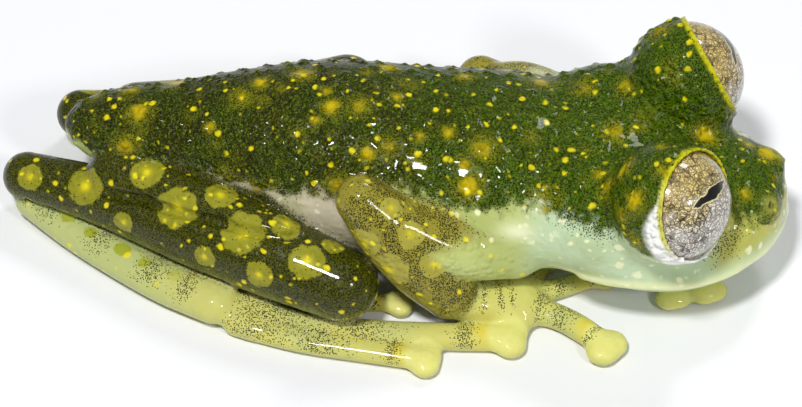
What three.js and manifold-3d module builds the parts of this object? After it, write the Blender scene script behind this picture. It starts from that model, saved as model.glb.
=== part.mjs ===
// A glass frog crouched at rest: a still, life-size model in which every part of the body that has a name
// is one closed solid. Millimetres, +Z up. The snout points along -Y, the frog's left side is at +X, and the
// floor that it sits on is z = 0, under the middle of the trunk.
import * as THREE from "three";
import { mergeVertices } from "three/addons/utils/BufferGeometryUtils.js";
import Module from "manifold-3d";

const wasm = await Module();
wasm.setup();

// Driving dimensions. Places and sizes further down are those of a frog 30 mm long, and scale with it.
const snoutToVent = 30;
const modelledLength = 30;
const scale = snoutToVent / modelledLength;
const gap = 0.3; // between solids that touch
const right = -1; // the side of the body that a paired part is on
const left = 1;

// Head
const neckY = -6.3; // plane that parts the head from the trunk
const eyeRadius = 1.95;
const eyeHalfSpan = 3.5; // midline to eye centre
const eyeY = -11.15;
const eyeZ = 6.65;
const eyeAxis = new THREE.Vector3(0.5, -0.79, 0.3).normalize(); // gaze of the left eye, forwards and outwards
const eyeClearance = 0.13;
const lidThickness = 0.45;
const orbit = eyeRadius + eyeClearance + lidThickness; // radius of the dome over each eye
const lidOpening = 1.8; // radius of the round between the lids
const nostrilHalfSpan = 1.3;
const nostrilY = -15.0;
const nostrilZ = 4.65;
const mouthZ = 2.75;
const mouthCentreY = -9.6; // the middle of the U that the mouth makes, seen from above
const mouthHalfAngle = 112; // degrees from the snout to each corner of the mouth

// Palette: colour, roughness and the parts that wear it
const backGreen = { color: 0x4f6a14, roughness: 0.38 };
const limbOlive = { color: 0x7c8226, roughness: 0.36 };
const palmYellow = { color: 0xcfcf6a, roughness: 0.34 };
const irisBronze = { color: 0x8f7f69, roughness: 0.08 };

const at = (x, y, z) => new THREE.Vector3(x, y, z).multiplyScalar(scale);
const lerp = THREE.MathUtils.lerp;

// A closed three.js geometry as a solid, in its own place.
function solid(geometry) {
  const bare = geometry.index ? geometry.toNonIndexed() : geometry.clone();
  for (const name of Object.keys(bare.attributes)) {
    if (name !== "position") bare.deleteAttribute(name);
  }
  const merged = mergeVertices(bare, 1e-4);
  const mesh = new wasm.Mesh({
    numProp: 3,
    vertProperties: new Float32Array(merged.attributes.position.array),
    triVerts: new Uint32Array(merged.index.array),
  });
  return new wasm.Manifold(mesh);
}

// The geometry of a solid, flat shaded by its own faces.
function geometryOf(manifold) {
  const mesh = manifold.getMesh();
  const geometry = new THREE.BufferGeometry();
  const positions = new Float32Array(mesh.numVert * 3);
  for (let i = 0; i < mesh.numVert; i++) {
    const from = i * mesh.numProp;
    positions.set(mesh.vertProperties.subarray(from, from + 3), i * 3);
  }
  geometry.setAttribute("position", new THREE.BufferAttribute(positions, 3));
  geometry.setIndex(new THREE.BufferAttribute(mesh.triVerts, 1));
  geometry.computeVertexNormals();
  return geometry;
}

// Rows of points, each a closed ring, skinned into one body between two end points.
function skinRings(rings, firstPole, lastPole) {
  const sides = rings[0].length;
  const points = [firstPole, ...rings.flat(), lastPole];
  const index = [];
  const lastIndex = points.length - 1;
  for (let k = 0; k < sides; k++) {
    const next = (k + 1) % sides;
    index.push(0, 1 + next, 1 + k);
    for (let row = 0; row < rings.length - 1; row++) {
      const here = 1 + row * sides;
      const beyond = here + sides;
      index.push(here + k, here + next, beyond + k);
      index.push(here + next, beyond + next, beyond + k);
    }
    const lastRow = 1 + (rings.length - 1) * sides;
    index.push(lastRow + k, lastRow + next, lastIndex);
  }
  const geometry = new THREE.BufferGeometry();
  geometry.setFromPoints(points);
  geometry.setIndex(index);
  return geometry;
}

// Round forms, joined softly into one surface. Each form is an ellipsoid: centre, half sizes and softness.
const form = (centre, halfSizes, softness) => ({ centre, halfSizes, softness });

function distanceToForm(point, { centre, halfSizes }, grow) {
  const x = point.x - centre.x;
  const y = point.y - centre.y;
  const z = point.z - centre.z;
  const a = halfSizes.x;
  const b = halfSizes.y;
  const c = halfSizes.z;
  const reach = Math.hypot(x / a, y / b, z / c);
  const slope = Math.hypot(x / (a * a), y / (b * b), z / (c * c));
  return (slope < 1e-9 ? -Math.min(a, b, c) : (reach * (reach - 1)) / slope) - grow;
}

function distanceToForms(point, forms, grow = 0) {
  let nearest = Infinity;
  for (const one of forms) {
    const distance = distanceToForm(point, one, grow);
    const overlap = Math.max(one.softness - Math.abs(nearest - distance), 0);
    nearest = Math.min(nearest, distance) - (overlap * overlap) / (4 * one.softness);
  }
  return nearest;
}

// Where a ray that starts inside the forms leaves them.
function castOut(origin, direction, forms, grow = 0) {
  const farthest = 14 * scale;
  const step = 0.35 * scale;
  const point = new THREE.Vector3();
  const valueAt = (reach) =>
    distanceToForms(point.copy(direction).multiplyScalar(reach).add(origin), forms, grow);
  let inside = 0;
  let outside = farthest;
  for (let reach = step; reach < farthest; reach += step) {
    if (valueAt(reach) > 0) {
      outside = reach;
      break;
    }
    inside = reach;
  }
  for (let turn = 0; turn < 24; turn++) {
    const middle = (inside + outside) / 2;
    if (valueAt(middle) > 0) outside = middle;
    else inside = middle;
  }
  return point.copy(direction).multiplyScalar(inside).add(origin).clone();
}

// The surface where a field of distances is zero: one point in each cell of a lattice that it crosses, and a
// quad across each lattice edge whose ends lie on its two sides.
function skinField(field, min, max, cell) {
  const size = new THREE.Vector3().subVectors(max, min);
  const counts = [size.x / cell.x, size.y / cell.y, size.z / cell.z].map((n) => Math.ceil(n) + 1);
  const [nx, ny, nz] = counts;
  const stride = [1, nx, nx * ny];
  const corner = (i, j, k) =>
    new THREE.Vector3(min.x + i * cell.x, min.y + j * cell.y, min.z + k * cell.z);
  const values = new Float64Array(nx * ny * nz);
  forEachCell(nx, ny, nz, (i, j, k, at0) => {
    values[at0] = field(corner(i, j, k));
  });
  const points = [];
  const pointOfCell = new Map();
  forEachCell(nx - 1, ny - 1, nz - 1, (i, j, k) => {
    const at0 = i + j * stride[1] + k * stride[2];
    const corners = [0, 1, 2, 3, 4, 5, 6, 7].map((bits) => ({
      bits,
      value: values[at0 + (bits & 1) + ((bits >> 1) & 1) * stride[1] + (bits >> 2) * stride[2]],
    }));
    const inside = corners.filter(({ value }) => value < 0).length;
    if (inside === 0 || inside === 8) return;
    pointOfCell.set(at0, points.length);
    points.push(settle(crossingOf(corners, corner(i, j, k), cell), field, cell));
  });
  const index = [];
  const addQuad = (quad, flipped) => {
    const [a, b, c, d] = quad.map((at0) => pointOfCell.get(at0));
    if (flipped) index.push(a, c, b, a, d, c);
    else index.push(a, b, c, a, c, d);
  };
  forEachCell(nx - 1, ny - 1, nz - 1, (i, j, k) => {
    const place = [i, j, k];
    const at0 = i + j * stride[1] + k * stride[2];
    for (let axis = 0; axis < 3; axis++) {
      const u = (axis + 1) % 3;
      const v = (axis + 2) % 3;
      if (place[u] === 0 || place[v] === 0) continue;
      const here = values[at0] < 0;
      if (here === values[at0 + stride[axis]] < 0) continue;
      const round = [at0, at0 - stride[u], at0 - stride[u] - stride[v], at0 - stride[v]];
      addQuad(round, !here);
    }
  });
  const geometry = new THREE.BufferGeometry().setFromPoints(points);
  geometry.setIndex(index);
  return solid(geometry);
}

function forEachCell(nx, ny, nz, visit) {
  for (let k = 0; k < nz; k++) {
    for (let j = 0; j < ny; j++) {
      for (let i = 0; i < nx; i++) visit(i, j, k, i + j * nx + k * nx * ny);
    }
  }
}

// The mean of the places where a cell's twelve edges cross the surface.
function crossingOf(corners, origin, cell) {
  const mean = new THREE.Vector3();
  let count = 0;
  for (const a of corners) {
    for (const axis of [1, 2, 4]) {
      if (a.bits & axis) continue;
      const b = corners[a.bits | axis];
      if (a.value < 0 === b.value < 0) continue;
      const share = a.value / (a.value - b.value);
      mean.x += (a.bits & 1) + (axis === 1 ? share : 0);
      mean.y += ((a.bits >> 1) & 1) + (axis === 2 ? share : 0);
      mean.z += (a.bits >> 2) + (axis === 4 ? share : 0);
      count += 1;
    }
  }
  return mean.divideScalar(count).multiply(cell).add(origin);
}

// A point near the surface, moved onto it along the field's slope.
function settle(point, field, cell) {
  const nudge = 0.02 * scale;
  for (let turn = 0; turn < 2; turn++) {
    const here = field(point);
    const slope = new THREE.Vector3(
      field(point.clone().setX(point.x + nudge)) - here,
      field(point.clone().setY(point.y + nudge)) - here,
      field(point.clone().setZ(point.z + nudge)) - here,
    ).divideScalar(nudge);
    const move = THREE.MathUtils.clamp(here / Math.max(slope.length(), 0.3), -0.3 * cell.x, 0.3 * cell.x);
    point.addScaledVector(slope.normalize(), -move);
  }
  return point;
}

// A limb, finger or fold: rings of varying radius along a smooth line, with rounded ends. A station is
// [place, radius] or [place, radius, flatness], where flatness under 1 presses the section down.
function limb(stations, { sides = 10, steps = 3, grow = 0 } = {}) {
  const line = new THREE.CatmullRomCurve3(
    stations.map(([place]) => place),
    false,
    "centripetal",
  );
  const spans = stations.length - 1;
  const count = spans * steps;
  const rows = [];
  const ringAt = (t, shrink, shift) => {
    const span = Math.min(Math.floor(t * spans), spans - 1);
    const share = t * spans - span;
    const eased = share * share * (3 - 2 * share);
    const radius = lerp(stations[span][1], stations[span + 1][1], eased) * scale + grow;
    const flatness = lerp(stations[span][2] ?? 1, stations[span + 1][2] ?? 1, eased);
    const tangent = line.getTangent(t);
    const sideways = new THREE.Vector3(-tangent.y, tangent.x, 0).normalize();
    const upwards = new THREE.Vector3().crossVectors(tangent, sideways);
    const centre = line.getPoint(t).addScaledVector(tangent, shift * radius);
    const row = [];
    for (let k = 0; k < sides; k++) {
      const angle = (k / sides) * 2 * Math.PI;
      row.push(
        centre
          .clone()
          .addScaledVector(sideways, Math.cos(angle) * radius * shrink)
          .addScaledVector(upwards, Math.sin(angle) * radius * shrink * flatness),
      );
    }
    return { row, centre };
  };
  const dome = [70, 40]; // degrees from the limb's own axis to each ring of a rounded end
  for (const degrees of dome.toReversed()) {
    const angle = THREE.MathUtils.degToRad(degrees);
    rows.push(ringAt(0, Math.sin(angle), -Math.cos(angle)).row);
  }
  for (let i = 0; i <= count; i++) rows.push(ringAt(i / count, 1, 0).row);
  for (const degrees of dome) {
    const angle = THREE.MathUtils.degToRad(degrees);
    rows.push(ringAt(1, Math.sin(angle), Math.cos(angle)).row);
  }
  return solid(skinRings(rows, ringAt(0, 0, -1).centre, ringAt(1, 0, 1).centre));
}

// A ball, stretched to three half sizes.
function ball(centre, halfSizes, { across = 20, down = 14, grow = 0, spin = 0 } = {}) {
  const geometry = new THREE.SphereGeometry(1, across, down);
  geometry.scale(
    halfSizes.x * scale + grow,
    halfSizes.y * scale + grow,
    halfSizes.z * scale + grow,
  );
  geometry.rotateZ(spin);
  geometry.translate(centre.x, centre.y, centre.z);
  return solid(geometry);
}

const union = (pieces) => pieces.reduce((whole, piece) => whole.add(piece));

function mirrored(vector, side) {
  return new THREE.Vector3(side * vector.x, vector.y, vector.z);
}

// Trunk and head share one soft surface, so that no step shows at the neck.
const headForms = [
  form(at(0, -8.6, 4.1), at(4.4, 4.2, 2.9), 1),
  form(at(0, -10.4, 3.2), at(4.9, 5.2, 1.95), 1.2),
  form(at(0, -12.8, 3.95), at(2.6, 2.75, 1.8), 1.2),
];
for (const side of [right, left]) {
  headForms.push(
    form(at(side * 3.0, -8.3, 4.85), at(2.0, 2.6, 1.95), 1.2),
    form(at(side * eyeHalfSpan, eyeY, eyeZ), at(orbit, orbit, orbit), 0.8),
    form(at(side * nostrilHalfSpan, nostrilY + 0.25, nostrilZ - 0.2), at(0.6, 0.7, 0.6), 0.7),
  );
}
const trunkForms = [
  form(at(0, -4.6, 3.8), at(4.65, 4.8, 3.3), 1),
  form(at(0, 0.6, 3.55), at(4.5, 6.8, 3.66), 2),
  form(at(0, 5.0, 4.4), at(3.0, 5.2, 2.6), 2),
  form(at(0, 9.6, 3.9), at(2.2, 5.1, 1.9), 1.6),
];
const bodyForms = [...headForms, ...trunkForms];

const bodyWidth = 7.4; // half, with room to spare
const bodyTop = 10.4;

// The skin of head and trunk between two planes square to Y, at a given fineness.
function bodyBetween(fromY, toY, fineness, grow = 0) {
  const margin = 1.5 * fineness;
  const field = (point) =>
    Math.max(
      distanceToForms(point, bodyForms, grow),
      (fromY + margin) * scale - point.y,
      point.y - (toY - margin) * scale,
    );
  const min = at(-bodyWidth, fromY, -1.3);
  const max = at(bodyWidth, toY, bodyTop);
  return skinField(field, min, max, at(fineness, fineness, fineness));
}

const snoutY = -17;
const ventY = 16;

// The half of space on one side of a plane square to Y.
function slabAlongY(fromY, toY) {
  const wide = 60 * scale;
  const box = new THREE.BoxGeometry(wide, (toY - fromY) * scale, wide);
  box.translate(0, ((fromY + toY) / 2) * scale, 0);
  return solid(box);
}

const farY = 40;

function eyeball(side, grow = 0) {
  const size = at(eyeRadius, eyeRadius, eyeRadius);
  return ball(at(side * eyeHalfSpan, eyeY, eyeZ), size, { across: 14, down: 10, grow });
}

// A ring of the lids, and the round hole between them, both square to the gaze.
function lidRim(side) {
  const radius = lidOpening + 0.15;
  const away = Math.sqrt(orbit ** 2 - radius ** 2) - 0.1;
  const tube = 0.27;
  const ring = new THREE.TorusGeometry(radius * scale, tube * scale, 5, 16);
  return placedOnEye(ring, side, away);
}

function lidHole(side) {
  const away = Math.sqrt(eyeRadius ** 2 - lidOpening ** 2);
  const depth = 3;
  const hole = new THREE.CylinderGeometry(
    (lidOpening + 1.1) * scale,
    (lidOpening - 0.1) * scale,
    depth * scale,
    16,
  );
  hole.rotateX(Math.PI / 2);
  return placedOnEye(hole, side, away + depth / 2);
}

function placedOnEye(geometry, side, away) {
  const gaze = mirrored(eyeAxis, side);
  const turn = new THREE.Quaternion().setFromUnitVectors(new THREE.Vector3(0, 0, 1), gaze);
  geometry.applyQuaternion(turn);
  const place = at(side * eyeHalfSpan, eyeY, eyeZ).addScaledVector(gaze, away * scale);
  geometry.translate(place.x, place.y, place.z);
  return solid(geometry);
}

// A line on the head's surface at the height of the mouth, from one corner round the snout to the other.
function lipLine(rise, sink) {
  const points = [];
  const count = 14;
  for (let i = 0; i <= count; i++) {
    const turn = lerp(-mouthHalfAngle, mouthHalfAngle, i / count);
    const angle = THREE.MathUtils.degToRad(turn);
    const corner = Math.abs(turn / mouthHalfAngle) ** 4; // the mouth dips a little at its corners
    const origin = at(0, mouthCentreY, mouthZ + rise - 0.25 * corner);
    const direction = new THREE.Vector3(Math.sin(angle), -Math.cos(angle), 0);
    points.push(castOut(origin, direction, headForms).addScaledVector(direction, -sink * scale));
  }
  return points;
}

function alongLip(rise, sink, radius) {
  return limb(lipLine(rise, sink).map((place) => [place, radius]), { sides: 5, steps: 1 });
}

function nostrilPit(side) {
  const pit = new THREE.CylinderGeometry(0.26 * scale, 0.14 * scale, 0.9 * scale, 6);
  pit.rotateX(Math.PI / 2);
  pit.rotateX(THREE.MathUtils.degToRad(-15));
  const outwards = new THREE.Vector3(side * 0.75, -0.45, 0.5).normalize();
  const turn = new THREE.Quaternion().setFromUnitVectors(new THREE.Vector3(0, 0, 1), outwards);
  pit.applyQuaternion(turn);
  const centre = at(side * nostrilHalfSpan, nostrilY + 0.25, nostrilZ - 0.15);
  const place = castOut(centre, outwards, headForms);
  pit.translate(place.x, place.y, place.z);
  return solid(pit);
}

// The eardrum's low ring, behind and below the eye.
function eardrumRing(side) {
  const ring = new THREE.TorusGeometry(0.6 * scale, 0.16 * scale, 5, 12);
  const outwards = new THREE.Vector3(side * 0.9, 0.1, 0.42).normalize();
  const turn = new THREE.Quaternion().setFromUnitVectors(new THREE.Vector3(0, 0, 1), outwards);
  ring.applyQuaternion(turn);
  const place = castOut(at(0, -7.9, 4.0), outwards, bodyForms);
  ring.translate(place.x, place.y, place.z);
  return solid(ring);
}

function head() {
  let whole = bodyBetween(snoutY, neckY + 3, 0.78).intersect(slabAlongY(-farY, neckY - gap / 2));
  whole = whole.add(alongLip(0.32, 0.16, 0.34)); // upper lip
  whole = whole.add(alongLip(-0.3, 0.22, 0.3)); // lower lip
  for (const side of [right, left]) {
    whole = whole.add(lidRim(side)).add(eardrumRing(side));
    whole = whole.subtract(eyeball(side, eyeClearance)).subtract(lidHole(side));
    whole = whole.subtract(nostrilPit(side));
  }
  return whole.subtract(alongLip(0, 0.02, 0.16)); // the line of the mouth
}

const trunk = () => bodyBetween(neckY - 3, ventY, 0.93).intersect(slabAlongY(neckY + gap / 2, farY));

// Limbs. Joints are places, and each is given for the side of the body that it is on.
const joints = {
  right: {
    shoulder: at(-4.0, -4.8, 2.6),
    elbow: at(-4.4, 1.4, 5.85),
    wrist: at(-5.15, -2.3, 1.75),
    armBend: at(-0.45, 0, -0.4),
    armGirth: 1,
    hip: at(-1.9, 12.0, 2.9),
    knee: at(-6.05, 2.0, 2.1),
    ankle: at(-1.4, 16.2, 1.75),
    shankBend: at(-0.1, 0, 0.15),
    thighBend: at(0, 0, 0.6),
  },
  left: {
    shoulder: at(4.5, -5.7, 3.7),
    elbow: at(5.65, -2.3, 3.15),
    wrist: at(4.3, -6.7, 1.35),
    armBend: at(-0.05, 0, 0.4),
    armGirth: 0.75,
    hip: at(1.9, 12.0, 2.7),
    knee: at(5.3, 3.5, 2.1),
    ankle: at(2.55, 14.7, 1.75),
    shankBend: at(-0.8, 0, -0.1),
    thighBend: at(-0.5, 0, -0.3),
  },
};
const between = (a, b, share, lift = 0) => a.clone().lerp(b, share).add(at(0, 0, lift));

function upperArm({ shoulder, elbow, armBend, armGirth }, grow) {
  const stations = [
    [shoulder, 1.4 * armGirth],
    [between(shoulder, elbow, 0.4).add(armBend), 1.3 * armGirth],
    [between(shoulder, elbow, 0.75).addScaledVector(armBend, 0.6), 1.1 * armGirth],
    [elbow, 1.0 * armGirth],
  ];
  return limb(stations, { sides: 10, steps: 2, grow });
}

function forearm({ elbow, wrist }, grow) {
  const stations = [
    [elbow, 1.1],
    [between(elbow, wrist, 0.35), 1.4],
    [between(elbow, wrist, 0.7), 1.4],
    [wrist, 1.15],
  ];
  return limb(stations, { sides: 10, steps: 2, grow });
}

function thigh({ hip, knee, thighBend }, grow) {
  const stations = [
    [hip, 1.45],
    [between(hip, knee, 0.35).addScaledVector(thighBend, 0.6), 1.5],
    [between(hip, knee, 0.65).add(thighBend), 1.4],
    [between(hip, knee, 0.92).addScaledVector(thighBend, 0.8), 1.2],
  ];
  return limb(stations, { sides: 12, steps: 1, grow });
}

function shank({ knee, ankle, shankBend }, grow) {
  const stations = [
    [knee, 1.5],
    [between(knee, ankle, 0.22).addScaledVector(shankBend, 0.7), 1.6],
    [between(knee, ankle, 0.42).add(shankBend), 1.55],
    [between(knee, ankle, 0.72).addScaledVector(shankBend, 0.7), 1.2],
    [ankle, 1.05],
  ];
  return limb(stations, { sides: 12, steps: 1, grow });
}

// A finger or toe with its round, flattened disc.
function digit(stations, discRadius, grow) {
  const tip = stations.at(-1)[0];
  const before = stations.at(-2)[0];
  const spin = Math.atan2(tip.y - before.y, tip.x - before.x) + Math.PI / 2;
  const disc = { x: discRadius, y: discRadius * 0.92, z: discRadius * 0.56 };
  const centre = tip.clone().setZ(Math.min(tip.z, discRadius * 0.52 * scale));
  return union([
    limb(stations, { sides: 6, steps: 1, grow }),
    ball(centre, disc, { across: 9, down: 5, grow, spin }),
  ]);
}

// A palm or sole: one broad, low limb, and the digits that spread from it, with a short web between them.
function paw({ root, digits, web }, grow) {
  const fingers = digits.map(({ path, disc }) => digit(path, disc, grow));
  return union([limb(root, { sides: 8, steps: 1, grow }), limb(web, { sides: 6, steps: 1, grow }), ...fingers]);
}

const restZ = 0.45; // height of a digit's middle above the floor
const digitPath = (radius, ...places) =>
  places.map(([x, y, z = restZ], i) => [at(x, y, z), radius * (i === 0 ? 1.2 : 1), 0.8]);

const hands = {
  right: {
    root: [
      [at(-5.1, -2.5, 1.35), 1.0, 0.9],
      [at(-4.85, -3.7, 0.9), 1.05, 0.8],
      [at(-4.45, -5.0, 0.65), 1.15, 0.55],
    ],
    web: [
      [at(-5.0, -5.4, 0.5), 0.65, 0.75],
      [at(-3.7, -5.5, 0.5), 0.65, 0.75],
    ],
    digits: [
      { path: digitPath(0.42, [-4.0, -4.2, 0.6], [-3.2, -4.1], [-2.4, -4.5]), disc: 0.62 },
      { path: digitPath(0.42, [-3.9, -5.0, 0.6], [-2.8, -5.6], [-1.8, -6.0]), disc: 0.66 },
      { path: digitPath(0.46, [-4.0, -5.3, 0.6], [-3.1, -7.0], [-2.3, -8.4]), disc: 0.74 },
      { path: digitPath(0.58, [-4.5, -5.4, 0.6], [-4.9, -6.9], [-5.4, -7.9], [-6.15, -8.95]), disc: 0.94 },
    ],
  },
  left: {
    root: [
      [at(4.2, -6.9, 1.1), 0.9, 0.9],
      [at(3.3, -7.8, 0.8), 0.95, 0.75],
      [at(2.2, -8.9, 0.6), 1.0, 0.55],
    ],
    web: [
      [at(1.6, -8.7, 0.5), 0.55, 0.75],
      [at(1.7, -9.8, 0.5), 0.55, 0.75],
    ],
    digits: [
      { path: digitPath(0.42, [2.6, -7.9, 0.55], [1.7, -7.5], [0.7, -7.4]), disc: 0.62 },
      { path: digitPath(0.42, [1.9, -8.8, 0.55], [0.5, -9.2], [-0.9, -9.6]), disc: 0.66 },
      { path: digitPath(0.46, [1.8, -9.0, 0.55], [-0.5, -10.5], [-3.0, -11.5]), disc: 0.76 },
      { path: digitPath(0.5, [1.9, -9.4, 0.55], [-0.2, -11.7], [-2.45, -12.9]), disc: 0.8 },
    ],
  },
};

const feet = {
  right: {
    root: [
      [at(-1.85, 15.8, 1.0), 0.95, 0.9],
      [at(-3.4, 13.7, 0.95), 0.85, 0.95],
      [at(-4.65, 11.5, 0.9), 0.9, 0.9],
      [at(-5.7, 9.4, 0.85), 0.95, 0.85],
      [at(-6.35, 7.3, 0.75), 1.05, 0.65],
    ],
    web: [
      [at(-7.1, 5.6, 0.5), 0.6, 0.75],
      [at(-5.6, 5.4, 0.5), 0.6, 0.75],
    ],
    digits: [
      { path: digitPath(0.42, [-5.4, 7.8, 0.6], [-4.6, 6.3], [-4.1, 5.2]), disc: 0.58 },
      { path: digitPath(0.42, [-5.7, 6.9, 0.6], [-4.9, 4.4], [-4.4, 2.7]), disc: 0.62 },
      { path: digitPath(0.44, [-6.0, 6.5, 0.6], [-5.45, 3.0], [-4.95, -0.2, 0.6]), disc: 0.72 },
      {
        path: digitPath(0.64, [-6.4, 6.0, 0.6], [-6.85, 3.4], [-6.85, 0.6], [-6.6, -2.4], [-6.35, -4.95]),
        disc: 0.92,
      },
      { path: digitPath(0.54, [-7.0, 6.2, 0.6], [-7.6, 3.6], [-7.75, 1.1], [-7.9, -1.65]), disc: 0.84 },
    ],
  },
  left: {
    root: [
      [at(2.9, 14.6, 1.0), 0.9, 0.9],
      [at(4.0, 12.5, 0.95), 0.85, 0.95],
      [at(4.9, 10.4, 0.9), 0.9, 0.85],
      [at(5.5, 8.0, 0.75), 1.05, 0.65],
    ],
    web: [
      [at(6.1, 5.6, 0.5), 0.6, 0.75],
      [at(4.4, 5.6, 0.5), 0.6, 0.75],
    ],
    digits: [
      { path: digitPath(0.42, [4.5, 8.4, 0.6], [3.7, 7.0], [3.3, 5.9]), disc: 0.58 },
      { path: digitPath(0.42, [4.8, 7.7, 0.6], [4.0, 5.5], [3.6, 3.9]), disc: 0.62 },
      { path: digitPath(0.44, [5.1, 7.3, 0.6], [4.6, 4.0], [4.35, 1.0]), disc: 0.72 },
      { path: digitPath(0.48, [5.5, 7.1, 0.6], [5.65, 3.2], [5.7, -0.3]), disc: 0.8 },
      { path: digitPath(0.46, [5.9, 7.1, 0.6], [6.6, 4.8], [6.8, 2.7]), disc: 0.76 },
    ],
  },
};

// Head, trunk and eyes keep their whole form. A limb part is cut clear of them and of the limb parts above it
// in its own list.
const core = [
  ["eye_right", () => eyeball(right), irisBronze],
  ["eye_left", () => eyeball(left), irisBronze],
  ["head", head, backGreen],
  ["trunk", trunk, backGreen],
];
const limbParts = (side) => [
  [`foot_${side}`, (grow) => paw(feet[side], grow), palmYellow],
  [`hand_${side}`, (grow) => paw(hands[side], grow), palmYellow],
  [`shank_${side}`, (grow) => shank(joints[side], grow), limbOlive],
  [`thigh_${side}`, (grow) => thigh(joints[side], grow), limbOlive],
  [`forearm_${side}`, (grow) => forearm(joints[side], grow), limbOlive],
  [`upper_arm_${side}`, (grow) => upperArm(joints[side], grow), limbOlive],
];

// The space above the floor, whose face makes the flats that the frog rests on.
function aboveFloor() {
  const wide = 60 * scale;
  const box = new THREE.BoxGeometry(wide, wide, wide);
  box.translate(0, 0, wide / 2);
  return solid(box);
}

function boxesMeet(a, b) {
  return [0, 1, 2].every((axis) => a.min[axis] <= b.max[axis] && b.min[axis] <= a.max[axis]);
}

function largestBody(manifold) {
  return manifold.decompose().reduce((a, b) => (a.volume() > b.volume() ? a : b));
}

const frog = new THREE.Group();
frog.name = "glass_frog";
const floorSide = aboveFloor();

function addPart(name, body, look) {
  const material = new THREE.MeshStandardMaterial({ ...look, metalness: 0 });
  const mesh = new THREE.Mesh(geometryOf(largestBody(body.intersect(floorSide))), material);
  mesh.name = name;
  frog.add(mesh);
}

for (const [name, build, look] of core) addPart(name, build(), look);

const taken = [bodyBetween(snoutY, ventY, 0.95, gap)];
for (const side of ["right", "left"]) {
  for (const [name, build, look] of limbParts(side)) {
    let body = build(0);
    for (const other of taken) {
      if (boxesMeet(body.boundingBox(), other.boundingBox())) body = body.subtract(other);
    }
    addPart(name, body, look);
    taken.push(build(gap));
  }
}

export default frog;
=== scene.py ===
"""A glass frog at rest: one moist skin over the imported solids, two netted eyes and a plain studio.

Sizes in the classes are millimetres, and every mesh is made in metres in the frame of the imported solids:
the snout points along -Y, the frog's left is +X, and the floor is z = 0.
"""

import logging
import math
from dataclasses import dataclass, field, replace
from enum import Enum
from itertools import product
from typing import Iterable, Protocol, Sequence

import bpy
import numpy as np
from mathutils import Matrix, Vector
from mathutils.kdtree import KDTree


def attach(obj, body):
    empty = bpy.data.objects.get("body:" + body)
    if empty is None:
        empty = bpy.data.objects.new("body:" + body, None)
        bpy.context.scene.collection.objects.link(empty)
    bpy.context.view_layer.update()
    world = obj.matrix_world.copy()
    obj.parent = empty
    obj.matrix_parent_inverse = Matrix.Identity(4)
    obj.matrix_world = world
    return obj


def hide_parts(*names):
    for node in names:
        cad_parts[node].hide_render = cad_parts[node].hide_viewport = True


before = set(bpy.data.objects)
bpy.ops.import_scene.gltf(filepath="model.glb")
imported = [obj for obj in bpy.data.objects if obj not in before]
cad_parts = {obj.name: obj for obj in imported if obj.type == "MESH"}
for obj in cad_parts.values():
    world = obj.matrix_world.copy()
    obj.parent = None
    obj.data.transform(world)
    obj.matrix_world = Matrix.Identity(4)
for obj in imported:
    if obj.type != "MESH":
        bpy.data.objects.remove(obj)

log = logging.getLogger("glass_frog")
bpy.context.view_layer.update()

MM = 0.001
Point = tuple[float, float, float]
Station = tuple[float, float, float, float]
Face = tuple[int, ...]
Array = np.ndarray
Socket = bpy.types.NodeSocket
Input = Socket | float | str | Sequence[float]


class Side(Enum):
    """The two sides of the body, as the sign of x."""

    RIGHT = -1
    LEFT = 1


class Sum(Enum):
    """The sums that a material's nodes work out."""

    ADD = "ADD"
    SUBTRACT = "SUBTRACT"
    MULTIPLY = "MULTIPLY"
    DIVIDE = "DIVIDE"
    POWER = "POWER"
    MAXIMUM = "MAXIMUM"
    ABSOLUTE = "ABSOLUTE"
    LESS_THAN = "LESS_THAN"


def smoothstep(low: float, high: float, values: Array) -> Array:
    """Ease values from 0 at low to 1 at high."""
    share = np.clip((values - low) / (high - low), 0.0, 1.0)
    return share * share * (3.0 - 2.0 * share)


def smooth_min(a: Array, b: Array, softness: float) -> Array:
    """Join two distance fields with a fillet about as wide as the softness."""
    overlap = np.maximum(softness - np.abs(a - b), 0.0)
    return np.minimum(a, b) - overlap * overlap / (4.0 * softness)


def smooth_max(a: Array, b: Array, softness: float) -> Array:
    """Keep what two distance fields share, with a rounded edge."""
    return -smooth_min(-a, -b, softness)


def unit(vector: Sequence[float]) -> Array:
    """Return the vector at length 1."""
    array = np.asarray(vector, dtype=float)
    return array / np.linalg.norm(array)


def along_and_across(places: Sequence[Array], centre: Point, axis: Point) -> tuple[Array, Array]:
    """Measure places along an axis and away from it.

    Args:
        places: arrays of x, y and z, in mm.
        centre: where the axis starts, in mm.
        axis: direction of the axis.

    Returns:
        How far each place is along the axis, and how far away from it, in mm.
    """
    px, py, pz = (p - c for p, c in zip(places, centre))
    ax, ay, az = unit(axis)
    along = px * ax + py * ay + pz * az
    across = np.sqrt(np.maximum(px**2 + py**2 + pz**2 - along**2, 0.0))
    return along, across


# Forms of the body


class Form(Protocol):
    """A closed shape that can be carved out of the flesh."""

    def box(self) -> tuple[Array, Array]:
        """Return the lowest and highest corner, in mm."""

    def distance(self, x: Array, y: Array, z: Array) -> Array:
        """Return how far each place is outside the form, in mm."""


class SoftForm(Form, Protocol):
    """A closed shape that can be joined to the flesh with a fillet."""

    @property
    def softness(self) -> float:
        """Return the width of the fillet to what is there already, in mm."""


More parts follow.
